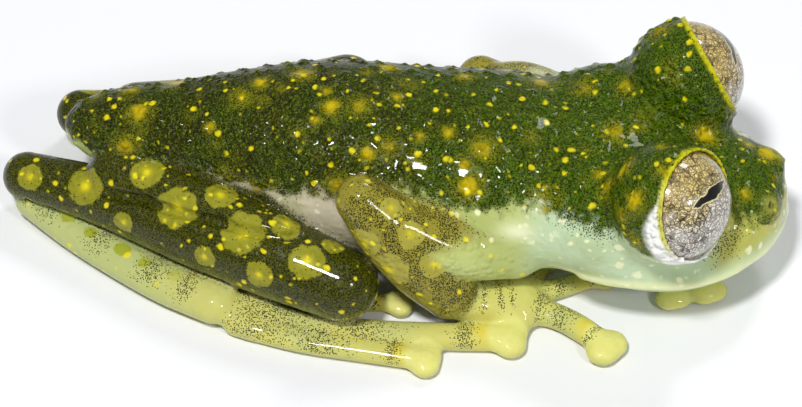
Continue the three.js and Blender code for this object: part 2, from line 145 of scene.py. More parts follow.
@dataclass(frozen=True)
class Lump:
    """An ellipsoid of flesh.

    Args:
        centre: middle, in mm.
        half: half sizes along x, y and z, in mm.
        softness: width of the fillet to what is there already, in mm.
    """

    centre: Point
    half: Point
    softness: float = 0.3

    def on(self, side: Side) -> "Lump":
        """Return a lump of the left side on either side of the body."""
        x, y, z = self.centre
        return replace(self, centre=(side.value * x, y, z))

    def box(self) -> tuple[Array, Array]:
        """Find the room that the ellipsoid takes.

        Returns:
            The lowest and the highest corner, in mm.
        """
        centre = np.array(self.centre)
        half = np.array(self.half)
        return centre - half, centre + half

    def distance(self, x: Array, y: Array, z: Array) -> Array:
        """Measure how far places are outside the ellipsoid, which is nearly true close to its skin.

        Args:
            x, y, z: places, in mm.

        Returns:
            The distance of each place, in mm.
        """
        px, py, pz = (p - c for p, c in zip((x, y, z), self.centre))
        a, b, c = self.half
        reach = np.sqrt((px / a) ** 2 + (py / b) ** 2 + (pz / c) ** 2)
        slope = np.sqrt((px / a**2) ** 2 + (py / b**2) ** 2 + (pz / c**2) ** 2)
        return reach * (reach - 1.0) / np.maximum(slope, 1e-6)


@dataclass(frozen=True)
class Strand:
    """A limb, a digit or a fold: a smooth line with a radius that changes along it.

    Args:
        stations: places on the line and the radius there, as (x, y, z, radius) in mm.
        flat: height of the section over its width.
        softness: width of the fillet to what is there already, in mm.
        steps: straight pieces from one station to the next.
    """

    stations: tuple[Station, ...]
    flat: float = 1.0
    softness: float = 0.25
    steps: int = 5

    def path(self) -> Array:
        """Round the line off through its stations.

        Returns:
            Rows of (x, y, z, radius), in mm.
        """
        knots = np.array(self.stations, dtype=float)
        knots = np.vstack([2 * knots[0] - knots[1], knots, 2 * knots[-1] - knots[-2]])
        rows = []
        for before, start, end, after in zip(knots, knots[1:], knots[2:], knots[3:]):
            slope = end - before
            bend = 2 * before - 5 * start + 4 * end - after
            twist = 3 * start - 3 * end + after - before
            for t in np.arange(self.steps) / self.steps:
                rows.append(0.5 * (2 * start + slope * t + bend * t**2 + twist * t**3))
        rows.append(knots[-2])
        return np.array(rows)

    def box(self) -> tuple[Array, Array]:
        """Find the room that the strand takes.

        Returns:
            The lowest and the highest corner, in mm.
        """
        path = self.path()
        radius = path[:, 3].max()
        return path[:, :3].min(0) - radius, path[:, :3].max(0) + radius

    def distance_and_way(self, x: Array, y: Array, z: Array) -> tuple[Array, Array]:
        """Measure from the skin of the strand and along it.

        Args:
            x, y, z: places, in mm.

        Returns:
            How far each place is outside, and how far along the line its nearest point is, in mm.
        """
        path = self.path()
        best = np.full(np.broadcast(x, y, z).shape, 1e3)
        way = np.zeros_like(best)
        walked = 0.0
        for start, end in zip(path, path[1:]):
            axis = end[:3] - start[:3]
            length = max(float(np.linalg.norm(axis)), 1e-6)
            px, py, pz = x - start[0], y - start[1], z - start[2]
            share = (px * axis[0] + py * axis[1] + pz * axis[2]) / length**2
            share = np.clip(share, 0.0, 1.0)
            dx = px - share * axis[0]
            dy = py - share * axis[1]
            dz = (pz - share * axis[2]) / self.flat
            radius = start[3] + share * (end[3] - start[3])
            distance = np.sqrt(dx * dx + dy * dy + dz * dz) - radius
            nearer = distance < best
            way = np.where(nearer, walked + share * length, way)
            best = np.where(nearer, distance, best)
            walked += length
        # Heights were stretched by the flatness, so the distance is evened out between the two ways
        return best * (0.5 + 0.5 * self.flat), way

    def distance(self, x: Array, y: Array, z: Array) -> Array:
        """Return how far each place is outside the strand, in mm."""
        return self.distance_and_way(x, y, z)[0]

    def length(self) -> float:
        """Return the length of the line, in mm."""
        return float(np.linalg.norm(np.diff(self.path()[:, :3], axis=0), axis=1).sum())

    def place_on_skin(self, share: float, turn: float) -> Array:
        """Find a place on the strand's skin.

        Args:
            share: part of the line's length, from 0 to 1.
            turn: angle from the top towards the side that faces away from the body, in degrees.

        Returns:
            The place, in mm.
        """
        path = self.path()
        index = min(int(share * (len(path) - 1)), len(path) - 2)
        along = unit(path[index + 1, :3] - path[index, :3])
        middle = path[index] + (path[index + 1] - path[index]) * (share * (len(path) - 1) - index)
        up = unit(np.array((0, 0, 1)) - along * along[2])
        out = np.cross(up, along)
        out *= np.sign(out[0] * middle[0])
        angle = math.radians(turn)
        return middle[:3] + middle[3] * (math.cos(angle) * up + math.sin(angle) * out)


@dataclass(frozen=True)
class Hoop:
    """A ring of round section.

    Args:
        centre: middle, in mm.
        axis: direction that the ring faces.
        radius: middle of the section to the centre, in mm.
        thickness: radius of the section, in mm.
        softness: width of the fillet to what is there already, in mm.
    """

    centre: Point
    axis: Point
    radius: float
    thickness: float
    softness: float = 0.15

    def box(self) -> tuple[Array, Array]:
        """Find the room that the ring takes, whichever way it faces.

        Returns:
            The lowest and the highest corner, in mm.
        """
        centre = np.array(self.centre)
        reach = self.radius + self.thickness
        return centre - reach, centre + reach

    def distance(self, x: Array, y: Array, z: Array) -> Array:
        """Return how far each place is outside the ring, in mm."""
        along, across = along_and_across((x, y, z), self.centre, self.axis)
        return np.hypot(across - self.radius, along) - self.thickness


@dataclass(frozen=True)
class Bore:
    """The space in front of an eye: a cone that opens outwards.

    Args:
        centre: middle of the eye, in mm.
        axis: direction that the opening faces.
        start: distance from the eye's middle to the bore's floor, in mm.
        radius: radius at that floor, in mm.
        flare: growth of the radius for each mm outwards.
        reach: how far from the eye's middle the bore is cut, in mm.
    """

    centre: Point
    axis: Point
    start: float
    radius: float
    flare: float = 0.35
    reach: float = 4.0

    def box(self) -> tuple[Array, Array]:
        """Return the lowest and the highest corner, in mm."""
        centre = np.array(self.centre)
        return centre - self.reach, centre + self.reach

    def distance(self, x: Array, y: Array, z: Array) -> Array:
        """Measure how far places are outside the bore.

        Args:
            x, y, z: places, in mm.

        Returns:
            The distance of each place, in mm.
        """
        along, across = along_and_across((x, y, z), self.centre, self.axis)
        wall = across - self.radius - self.flare * (along - self.start)
        return np.maximum(wall, self.start - along)


def crease(first: Strand, second: Strand, lean: float, depth: float) -> Strand:
    """Return the line along which the skins of two strands meet.

    Args:
        first, second: strands that lie side by side.
        lean: angle from the top towards the outer side from which the line is seen, in degrees.
        depth: radius of the fold that is carved there, in mm.

    Returns:
        A thin strand along the meeting line.
    """
    other = second.path()
    angle = math.radians(lean)
    stations = []
    for x, y, z, radius in first.path():
        place = np.array((x, y, z))
        away = np.linalg.norm(other[:, :3] - place, axis=1)
        nearest = other[np.argmin(away)]
        gap = float(away.min())
        if not abs(radius - nearest[3]) < gap < radius + nearest[3]:
            continue
        across = (nearest[:3] - place) / gap
        reach = (gap**2 + radius**2 - nearest[3] ** 2) / (2 * gap)
        seen = np.array((math.copysign(math.sin(angle), x), 0, math.cos(angle)))
        rise = unit(seen - across * (seen @ across))
        height = math.sqrt(max(radius**2 - reach**2, 0.0))
        stations.append((*(place + across * reach + rise * height), depth))
    return Strand(tuple(stations), steps=1)


# The skin's volume and surface

# Distance at lattice points that no form has reached yet, in mm
EMPTY = 3.0
# How far round a form the lattice is changed when the form is joined or carved, in mm
JOIN_MARGIN = 1.2
CARVE_MARGIN = 0.4
# Space between the floor and the flesh that rests on it, in mm
FLOOR_GAP = 0.004
# Longest step with which a corner is drawn back on the skin, in mm
SETTLE_STEP = 0.06
# Where a ray out of the flesh starts to look for the skin, in mm, and how many places it tries
RAY_START = 0.2
RAY_STEPS = 180
CELL_CORNERS = tuple(product((0, 1), repeat=3))


@dataclass
class FleshVolume:
    """A lattice of distances to the frog's skin.

    Args:
        low: lowest corner, in mm.
        high: highest corner, in mm.
        cell: spacing of the lattice, in mm.
    """

    low: Point = (-9.7, -17.0, -0.6)
    high: Point = (8.6, 18.2, 10.4)
    cell: float = 0.1
    values: Array = field(init=False)

    def __post_init__(self) -> None:
        """Lay out the lattice, with nothing in it yet."""
        counts = np.ceil((np.array(self.high) - np.array(self.low)) / self.cell).astype(int) + 1
        self.values = np.full(counts, EMPTY, dtype=np.float32)

    def _window(self, form: Form, margin: float) -> tuple[tuple[slice, ...], list[Array]]:
        """Find the part of the lattice round a form.

        Args:
            form: the form.
            margin: room to leave round it, in mm.

        Returns:
            The slices of the lattice, and the places of their points as x, y and z in mm.
        """
        low, high = form.box()
        first = np.floor((low - margin - np.array(self.low)) / self.cell).astype(int)
        last = np.ceil((high + margin - np.array(self.low)) / self.cell).astype(int) + 1
        first = np.clip(first, 0, self.values.shape)
        last = np.clip(last, 0, self.values.shape)
        slices = tuple(slice(a, b) for a, b in zip(first, last))
        axes = [np.arange(a, b) * self.cell + o for a, b, o in zip(first, last, self.low)]
        places = np.meshgrid(*[axis.astype(np.float32) for axis in axes], indexing="ij", sparse=True)
        return slices, places

    def add(self, *forms: SoftForm) -> None:
        """Join forms to the flesh, each with its own fillet.

        Args:
            forms: the forms, in the order in which they are joined.
        """
        for form in forms:
            slices, places = self._window(form, JOIN_MARGIN + form.softness)
            there = self.values[slices]
            self.values[slices] = smooth_min(there, form.distance(*places), form.softness)

    def carve(self, *forms: Form, softness: float = 0.08) -> None:
        """Take forms out of the flesh.

        Args:
            forms: the forms, in the order in which they are carved.
            softness: how far the edges that are left are rounded, in mm.
        """
        for form in forms:
            slices, places = self._window(form, CARVE_MARGIN)
            there = self.values[slices]
            self.values[slices] = smooth_max(there, -form.distance(*places), softness)

    def rest_on_floor(self) -> None:
        """Cut the flesh off level where it would reach below the floor."""
        heights = np.arange(self.values.shape[2]) * self.cell + self.low[2]
        self.values = np.maximum(self.values, (FLOOR_GAP - heights)[None, None, :].astype(np.float32))

    def sample(self, points: Array) -> Array:
        """Read the distance between the lattice points.

        Args:
            points: rows of places, in mm.

        Returns:
            The distance at each place, in mm.
        """
        place = (points - np.array(self.low)) / self.cell
        place = np.clip(place, 0, np.array(self.values.shape) - 1.001)
        corner = place.astype(int)
        share = place - corner
        total = np.zeros(len(points))
        for step in CELL_CORNERS:
            weight = np.abs(1 - np.array(step) - share).prod(axis=1)
            total += weight * self.values[tuple((corner + step).T)]
        return total

    def settle(self, points: Array, quads: Array, rounds: int) -> Array:
        """Even out the skin's mesh, then draw its corners back on the skin.

        Args:
            points: corner places, in mm.
            quads: rows of four corner numbers.
            rounds: number of passes.

        Returns:
            The new corner places.
        """
        for _ in range(rounds):
            points = relax(points, quads, rounds=2, share=0.5)
            normals = corner_normals(points, quads)
            offset = np.clip(self.sample(points), -SETTLE_STEP, SETTLE_STEP)
            points = points - normals * offset[:, None]
        return relax(points, quads, rounds=1, share=0.4)

    def surface_from(self, origins: Array, directions: Array, reach: float = 9.0) -> Array:
        """Find where rays that start in the flesh leave it.

        Args:
            origins: rows of starting places, in mm.
            directions: rows of directions, each of length 1.
            reach: length of the rays, in mm.

        Returns:
            Rows of places on the skin, in mm.
        """
        found = np.full(len(origins), reach)
        open_rays = np.ones(len(origins), bool)
        for step in np.linspace(RAY_START, reach, RAY_STEPS):
            outside = self.sample(origins + directions * step) > 0
            found[outside & open_rays] = step
            open_rays &= ~outside
        return origins + directions * found[:, None]

    def surface(self) -> tuple[Array, Array]:
        """Make the mesh of the skin.

        Returns:
            Corner places in mm, and quads as rows of four corner numbers.
        """
        inside = self.values < 0
        shape = np.array(self.values.shape) - 1
        count = np.zeros(shape, np.int8)
        for step in CELL_CORNERS:
            count += inside[tuple(slice(a, a + size) for a, size in zip(step, shape))]
        cells = np.argwhere((count > 0) & (count < len(CELL_CORNERS)))
        number = np.full(shape, -1, np.int64)
        number[tuple(cells.T)] = np.arange(len(cells))
        points = self._cell_points(cells)
        quads = [self._quads_across(axis, inside, number) for axis in range(3)]
        return points, np.vstack(quads)

    def _cell_points(self, cells: Array) -> Array:
        """Place one corner of the mesh in each cell that the skin passes through.

        Args:
            cells: rows of cell numbers along x, y and z.

        Returns:
            The mean of the places where each cell's edges cross the skin, in mm.
        """
        total = np.zeros((len(cells), 3))
        crossings = np.zeros(len(cells))
        for axis in range(3):
            others = [a for a in range(3) if a != axis]
            for start in product((0, 1), repeat=2):
                low = np.zeros(3, int)
                low[others] = start
                high = low.copy()
                high[axis] = 1
                here = self.values[tuple((cells + low).T)]
                there = self.values[tuple((cells + high).T)]
                crossed = (here < 0) != (there < 0)
                share = np.where(crossed, here / np.where(crossed, here - there, 1.0), 0.0)
                place = np.tile(low.astype(float), (len(cells), 1))
                place[:, axis] = share
                total += place * crossed[:, None]
                crossings += crossed
        return (cells + total / crossings[:, None]) * self.cell + np.array(self.low)

    @staticmethod
    def _quads_across(axis: int, inside: Array, number: Array) -> Array:
        """Span a quad over each lattice edge that runs along one axis and crosses the skin.

        Args:
            axis: 0, 1 or 2 for x, y or z.
            inside: whether each lattice point is in the flesh.
            number: the mesh corner of each cell, or -1.

        Returns:
            Rows of four corner numbers, which turn left as seen from outside.
        """
        u, v = (axis + 1) % 3, (axis + 2) % 3
        moved = np.moveaxis(inside, (axis, u, v), (0, 1, 2))
        cell_number = np.moveaxis(number, (axis, u, v), (0, 1, 2))
        here = moved[:-1, 1:-1, 1:-1]
        there = moved[1:, 1:-1, 1:-1]
        i, j, k = np.nonzero(here != there)
        corners = [
            cell_number[i, j, k],
            cell_number[i, j + 1, k],
            cell_number[i, j + 1, k + 1],
            cell_number[i, j, k + 1],
        ]
        quads = np.stack(corners, axis=1)
        outwards = here[i, j, k]
        quads[~outwards] = quads[~outwards][:, ::-1]
        return quads


def relax(points: Array, quads: Array, rounds: int, share: float) -> Array:
    """Even out a mesh by moving each corner towards its neighbours.

    Args:
        points: corner places.
        quads: rows of four corner numbers.
        rounds: number of passes.
        share: part of the way that a corner moves in each pass.

    Returns:
        The new corner places.
    """
    a = quads.ravel()
    b = np.roll(quads, -1, axis=1).ravel()
    count = len(points)
    degree = np.bincount(a, minlength=count) + np.bincount(b, minlength=count)
    for _ in range(rounds):
        mean = np.empty_like(points)
        for c in range(3):
            total = np.bincount(a, points[b, c], count) + np.bincount(b, points[a, c], count)
            mean[:, c] = total / degree
        points = points + (mean - points) * share
    return points


def corner_normals(points: Array, quads: Array) -> Array:
    """Find which way a mesh faces.

    Args:
        points: corner places.
        quads: rows of four corner numbers.

    Returns:
        The outward direction at each corner, of length 1.
    """
    diagonal_a = points[quads[:, 2]] - points[quads[:, 0]]
    diagonal_b = points[quads[:, 3]] - points[quads[:, 1]]
    faces = np.cross(diagonal_a, diagonal_b)
    normals = np.zeros_like(points)
    for corner in range(4):
        for c in range(3):
            normals[:, c] += np.bincount(quads[:, corner], faces[:, c], len(points))
    return normals / np.maximum(np.linalg.norm(normals, axis=1), 1e-12)[:, None]


# Anatomy


@dataclass(frozen=True)
class EyeShape:
    """One eye and its lids, on the left side.

    Args:
        half_span: middle of the eye from the body's middle, in mm.
        y: place of the eye along the body, in mm.
        z: height of the eye's middle, in mm.
        ball: radius of the eyeball, in mm.
        dome: radius of the flesh round it, in mm.
        seat: depth by which the ball sits in the skin of its socket, in mm.
        lids_face: direction that the opening of the lids faces.
        gaze: direction from the eye's middle to the pupil.
        slit: direction along the pupil's slit.
        opening: radius of the opening of the lids, in mm.
        rim: radius of the rolled edge of the lids, in mm.
        rim_sink: how far that edge lies behind the lids' plane and round the opening, in mm.
        bore_depth: how far behind the lids' plane the opening starts, in mm.
        bore_slack: how much narrower than at the lids it is there, in mm.
    """

    half_span: float = 3.52
    y: float = -11.15
    z: float = 6.68
    ball: float = 2.38
    dome: float = 2.52
    seat: float = 0.16
    lids_face: Point = (0.409, -0.821, 0.398)
    gaze: Point = (0.302, -0.671, 0.676)
    slit: Point = (0.86, -0.5, -0.11)
    opening: float = 2.25
    rim: float = 0.075
    rim_sink: float = 0.02
    bore_depth: float = 0.35
    bore_slack: float = 0.08

    def centre(self, side: Side) -> Point:
        """Return the middle of the eyeball."""
        return (side.value * self.half_span, self.y, self.z)

    def axis(self, side: Side) -> Point:
        """Return the direction that the opening of the lids faces."""
        return (side.value * self.lids_face[0], self.lids_face[1], self.lids_face[2])

    def rim_distance(self) -> float:
        """Return how far the plane of the lids is from the eye's middle."""
        return math.sqrt(self.dome**2 - self.opening**2)

    def turn(self, side: Side) -> Matrix:
        """Find how an eyeball is turned, with z to its pupil and x along the slit.

        Args:
            side: the side of the body.

        Returns:
            The rotation, as a matrix of four rows.
        """
        gaze = Vector(unit((side.value * self.gaze[0], self.gaze[1], self.gaze[2])))
        slit = Vector((self.slit[0], -side.value * self.slit[1], -side.value * self.slit[2]))
        across = gaze.cross(slit).normalized()
        along = across.cross(gaze)
        return Matrix((along, across, gaze)).transposed().to_4x4()


@dataclass(frozen=True)
class Lip:
    """A fold or a groove that follows the mouth.

    Args:
        rise: height above the mouth, in mm.
        sink: depth of its middle under the skin, in mm.
        radius: radius of its section, in mm.
        softness: width of the fillet beside it, in mm.
    """

    rise: float
    sink: float
    radius: float
    softness: float


@dataclass(frozen=True)
class Head:
    """Skull, snout, lids, lips and nostrils.

    Args:
        eye: sizes of the eyes.
        skull, jaw, snout: the masses in the middle.
        temple: the mass behind the left eye.
        nostril: the low swelling of the left nostril.
        nostril_face: direction that the left nostril faces.
        nostril_pit: half sizes of the nostril's pit, in mm.
        nostril_sink: depth of the pit's middle under the skin, in mm.
        upper_lip, lower_lip: the folds above and below the mouth.
        seam: the groove of the closed mouth.
        mouth_z: height of the mouth, in mm.
        mouth_centre_y: middle of the mouth's round line, in mm.
        mouth_half_angle: how far the mouth goes round to each side, in degrees.
        droop: how far the mouth's corners hang, in mm.
    """

    eye: EyeShape = EyeShape()
    skull: Lump = Lump((0, -8.6, 4.1), (4.4, 4.2, 2.9), 1.0)
    jaw: Lump = Lump((0, -10.4, 3.2), (4.9, 5.2, 1.95), 1.2)
    snout: Lump = Lump((0, -12.8, 3.95), (2.6, 2.75, 1.8), 1.2)
    temple: Lump = Lump((3.0, -8.3, 4.85), (2.0, 2.6, 1.95), 1.2)
    nostril: Lump = Lump((1.3, -14.9, 4.5), (0.5, 0.55, 0.5), 0.6)
    nostril_face: Point = (0.38, -0.48, 0.79)
    nostril_pit: Point = (0.19, 0.2, 0.18)
    nostril_sink: float = 0.05
    upper_lip: Lip = Lip(0.3, 0.12, 0.22, 0.3)
    lower_lip: Lip = Lip(-0.24, 0.16, 0.2, 0.3)
    seam: Lip = Lip(0.0, -0.02, 0.085, 0.1)
    mouth_z: float = 2.72
    mouth_centre_y: float = -9.6
    mouth_half_angle: float = 112.0
    droop: float = 0.25

    def lumps(self) -> list[Lump]:
        """Gather the soft masses of the head.

        Returns:
            The masses, in the order in which they are joined.
        """
        masses = [self.skull, self.jaw, self.snout]
        for side in Side:
            masses.append(self.temple.on(side))
            masses.append(Lump(self.eye.centre(side), (self.eye.dome,) * 3, 0.8))
            masses.append(self.nostril.on(side))
        return masses

    def mouth_line(self, flesh: FleshVolume, lip: Lip) -> Strand:
        """Follow the mouth round the snout.

        Args:
            flesh: the head's volume, before the lips are made.
            lip: the fold or groove to lay there.

        Returns:
            A strand on the skin from the right corner of the mouth to the left one.
        """
        turns = np.linspace(-self.mouth_half_angle, self.mouth_half_angle, 41)
        angles = np.radians(turns)
        droop = self.droop * np.abs(turns / self.mouth_half_angle) ** 4
        level = self.mouth_z + lip.rise - droop
        origins = np.stack([0 * angles, 0 * angles + self.mouth_centre_y, level], axis=1)
        directions = np.stack([np.sin(angles), -np.cos(angles), 0 * angles], axis=1)
        places = flesh.surface_from(origins, directions) - directions * lip.sink
        stations = tuple((x, y, z, lip.radius) for x, y, z in places)
        return Strand(stations, softness=lip.softness, steps=1)

    def model(self, flesh: FleshVolume) -> None:
        """Add the head to the flesh, with its lips and nostrils.

        Args:
            flesh: the volume to shape.
        """
        flesh.add(*self.lumps())
        lips = (self.upper_lip, self.lower_lip, self.seam)
        upper, lower, seam = [self.mouth_line(flesh, lip) for lip in lips]
        flesh.add(upper, lower)
        flesh.carve(seam, softness=0.12)
        for side in Side:
            x, y, z = self.nostril_face
            outwards = unit((side.value * x, y, z))
            centre = np.array(self.nostril.on(side).centre)
            place = flesh.surface_from(centre[None], outwards[None])[0]
            flesh.carve(Lump(tuple(place - outwards * self.nostril_sink), self.nostril_pit))

    def open_lids(self, flesh: FleshVolume) -> None:
        """Bore out the room for the eyeballs and roll the edges of the lids.

        Args:
            flesh: the volume to shape.
        """
        eye = self.eye
        away = eye.rim_distance()
        for side in Side:
            centre = eye.centre(side)
            axis = eye.axis(side)
            flesh.carve(Lump(centre, (eye.ball - eye.seat,) * 3), softness=0.05)
            bore = Bore(centre, axis, away - eye.bore_depth, eye.opening - eye.bore_slack)
            flesh.carve(bore, softness=0.06)
            rim = tuple(np.array(centre) + unit(axis) * (away - eye.rim_sink))
            flesh.add(Hoop(rim, axis, eye.opening + eye.rim_sink, eye.rim, softness=0.12))


@dataclass(frozen=True)
class Trunk:
    """The soft masses of the body, from front to back.

    Args:
        shoulders, belly, loins, rump: the masses.
    """

    shoulders: Lump = Lump((0, -4.6, 3.8), (4.65, 4.8, 3.3), 1.0)
    belly: Lump = Lump((0, 0.6, 3.55), (4.5, 6.8, 3.66), 2.0)
    loins: Lump = Lump((0, 5.0, 4.4), (3.0, 5.2, 2.6), 2.0)
    rump: Lump = Lump((0, 9.6, 3.9), (2.2, 5.1, 1.9), 1.6)

    def lumps(self) -> list[Lump]:
        """Return the masses in the order in which they are joined."""
        return [self.shoulders, self.belly, self.loins, self.rump]


@dataclass(frozen=True)
class Digit:
    """A finger or a toe: its line over the floor and its disc.

    Args:
        places: the line's places from root to tip, in mm.
        radius: radius of the digit, in mm.
        disc: radius of its disc, in mm.
        root_swell, tip_taper: radius at the root and at the tip, as shares of the digit's.
        lie: highest the digit's middle lies over the floor, as a share of its radius.
        pad_ahead, pad_half, pad_top, pad_radius: how far the pad lies before the tip, its half
            width, the height of its middle and its thickness, all as shares of the disc's radius.
    """

    places: tuple[Point, ...]
    radius: float
    disc: float
    root_swell: float = 1.2
    tip_taper: float = 0.92
    lie: float = 0.76
    pad_ahead: float = 0.14
    pad_half: float = 0.3
    pad_top: float = 0.42
    pad_radius: float = 0.72

    def strand(self) -> Strand:
        """Lay the digit on the floor.

        Returns:
            Its strand, without the disc.
        """
        swell = [1.0] * len(self.places)
        swell[0] = self.root_swell
        swell[-1] = self.tip_taper
        top = self.lie * self.radius
        stations = tuple(
            (x, y, min(z, top), self.radius * share) for (x, y, z), share in zip(self.places, swell)
        )
        return Strand(stations, flat=0.8, softness=0.3)

    def pad(self) -> Strand:
        """Spread the disc across the digit's tip.

        Returns:
            The disc, as a short strand across the digit.
        """
        (bx, by, _), (tx, ty, tz) = self.places[-2:]
        length = math.hypot(tx - bx, ty - by)
        ahead = np.array(((tx - bx) / length, (ty - by) / length))
        middle = np.array((tx, ty)) + ahead * self.pad_ahead * self.disc
        aside = np.array((-ahead[1], ahead[0])) * self.pad_half * self.disc
        height = min(tz, self.disc * self.pad_top)
        radius = self.disc * self.pad_radius
        ends = tuple((*place, height, radius) for place in (middle - aside, middle + aside))
        return Strand(ends, flat=0.6, softness=0.25, steps=1)


@dataclass(frozen=True)
class Paw:
    """A hand or a foot.

    Args:
        root: line from the wrist or heel to the roots of the digits, with its radius, in mm.
        web: line across the roots of the middle digits, with its radius, in mm.
        digits: the fingers or toes, from the inner to the outer one.
    """

    root: tuple[Station, ...]
    web: tuple[Station, ...]
    digits: tuple[Digit, ...]

    def root_strand(self) -> Strand:
        """Return the strand from the wrist or heel to the roots of the digits."""
        return Strand(self.root, flat=0.8, softness=0.3)

    def forms(self) -> list[Strand]:
        """Gather every form of the paw.

        Returns:
            The strands, in the order in which they are joined.
        """
        parts = [self.root_strand(), Strand(self.web, flat=0.6, softness=0.6)]
        for one in self.digits:
            parts += [one.strand(), one.pad()]
        return parts


@dataclass(frozen=True)
class Arm:
    """One arm.

    Args:
        upper: from the shoulder to the elbow.
        fore: from the elbow to the wrist.
        hand: the hand and its fingers.
    """

    upper: Strand
    fore: Strand
    hand: Paw

    def forms(self) -> list[Strand]:
        """Return every form of the arm."""
        return [self.upper, self.fore, *self.hand.forms()]


@dataclass(frozen=True)
class Leg:
    """One leg.

    Args:
        thigh: from the hip to the knee.
        shank: from the knee to the heel.
        foot: the long foot and its toes.
    """

    thigh: Strand
    shank: Strand
    foot: Paw

    def forms(self) -> list[Strand]:
        """Return every form of the leg."""
        return [self.thigh, self.shank, *self.foot.forms()]


# Height of a digit's middle over the floor where its places leave it out, in mm
REST_Z = 0.45


def digit(radius: float, disc: float, *places: Sequence[float]) -> Digit:
    """Return a digit from places that may leave out their height."""
    full = tuple((p[0], p[1], p[2] if len(p) > 2 else REST_Z) for p in places)
    return Digit(full, radius, disc)


RIGHT_ARM = Arm(
    upper=Strand(
        (
            (-3.5, -4.8, 2.9, 1.3),
            (-4.5, -2.35, 3.6, 1.25),
            (-4.55, -0.2, 4.8, 1.12),
            (-4.4, 1.4, 5.85, 1.0),
        ),
    ),
    fore=Strand(
        (
            (-4.4, 1.4, 5.85, 1.05),
            (-4.66, 0.1, 4.4, 1.42),
            (-4.93, -1.2, 2.95, 1.45),
            (-5.15, -2.3, 1.75, 1.2),
        ),
        softness=0.12,
    ),
    hand=Paw(
        root=((-5.1, -2.5, 1.35, 0.95), (-4.85, -3.7, 0.9, 1.0), (-4.45, -5.0, 0.65, 1.1)),
        web=((-5.0, -5.4, 0.5, 0.65), (-3.7, -5.5, 0.5, 0.65)),
        digits=(
            digit(0.42, 0.62, (-4.0, -4.2, 0.6), (-3.2, -4.1), (-2.4, -4.5)),
            digit(0.42, 0.66, (-3.9, -5.0, 0.6), (-2.8, -5.6), (-1.8, -6.0)),
            digit(0.46, 0.74, (-4.0, -5.3, 0.6), (-3.1, -7.0), (-2.3, -8.4)),
            digit(0.58, 0.94, (-4.5, -5.4, 0.6), (-4.9, -6.9), (-5.4, -7.9), (-6.15, -8.95)),
        ),
    ),
)
LEFT_ARM = Arm(
    upper=Strand(
        (
            (4.5, -5.7, 3.7, 1.05),
            (4.9, -4.3, 3.9, 0.98),
            (5.3, -3.1, 3.5, 0.85),
            (5.65, -2.3, 3.15, 0.8),
        ),
    ),
    fore=Strand(
        (
            (5.65, -2.3, 3.15, 1.05),
            (5.2, -3.85, 2.5, 1.35),
            (4.7, -5.4, 1.9, 1.35),
            (4.3, -6.7, 1.35, 1.1),
        ),
        softness=0.12,
    ),
    hand=Paw(
        root=((4.2, -6.9, 1.1, 0.88), (3.3, -7.8, 0.8, 0.92), (2.2, -8.9, 0.6, 0.98)),
        web=((1.6, -8.7, 0.5, 0.55), (1.7, -9.8, 0.5, 0.55)),
        digits=(
            digit(0.42, 0.62, (2.6, -7.9, 0.55), (1.7, -7.5), (0.7, -7.4)),
            digit(0.42, 0.66, (1.9, -8.8, 0.55), (0.5, -9.2), (-0.9, -9.6)),
            digit(0.46, 0.76, (1.8, -9.0, 0.55), (-0.5, -10.5), (-3.0, -11.5)),
            digit(0.5, 0.8, (1.9, -9.4, 0.55), (-0.2, -11.7), (-2.45, -12.9)),
        ),
    ),
)
RIGHT_LEG = Leg(
    thigh=Strand(
        (
            (-1.9, 12.0, 2.9, 1.45),
            (-3.35, 8.5, 2.98, 1.5),
            (-4.6, 5.5, 2.98, 1.4),
            (-5.7, 2.8, 2.65, 1.2),
        ),
        softness=0.15,
    ),
    shank=Strand(
        (
            (-5.95, 2.0, 2.3, 1.53),
            (-4.98, 5.12, 2.5, 1.72),
            (-4.03, 7.96, 2.48, 1.68),
            (-2.6, 12.2, 2.25, 1.3),
            (-1.4, 16.2, 1.8, 1.05),
        ),
        softness=0.12,
    ),
    foot=Paw(
        root=(
            (-1.8, 15.8, 0.8, 0.92),
            (-3.3, 13.7, 0.7, 0.87),
            (-4.55, 11.5, 0.7, 0.91),
            (-5.6, 9.4, 0.73, 0.95),
            (-6.3, 7.3, 0.76, 1.03),
        ),
        web=((-7.1, 5.6, 0.5, 0.6), (-5.6, 5.4, 0.5, 0.6)),
        digits=(
            digit(0.42, 0.58, (-5.4, 7.8, 0.6), (-4.6, 6.3), (-4.1, 5.2)),
            digit(0.42, 0.62, (-5.7, 6.9, 0.6), (-4.9, 4.4), (-4.4, 2.7)),
            digit(0.44, 0.72, (-6.0, 6.5, 0.6), (-5.45, 3.0), (-4.95, -0.2, 0.6)),
            digit(
                0.62, 0.92, (-6.4, 6.0, 0.6), (-6.85, 3.4), (-6.85, 0.6), (-6.6, -2.4), (-6.35, -4.95)
            ),
            digit(0.54, 0.84, (-7.0, 6.2, 0.6), (-7.6, 3.6), (-7.75, 1.1), (-7.9, -1.65)),
        ),
    ),
)
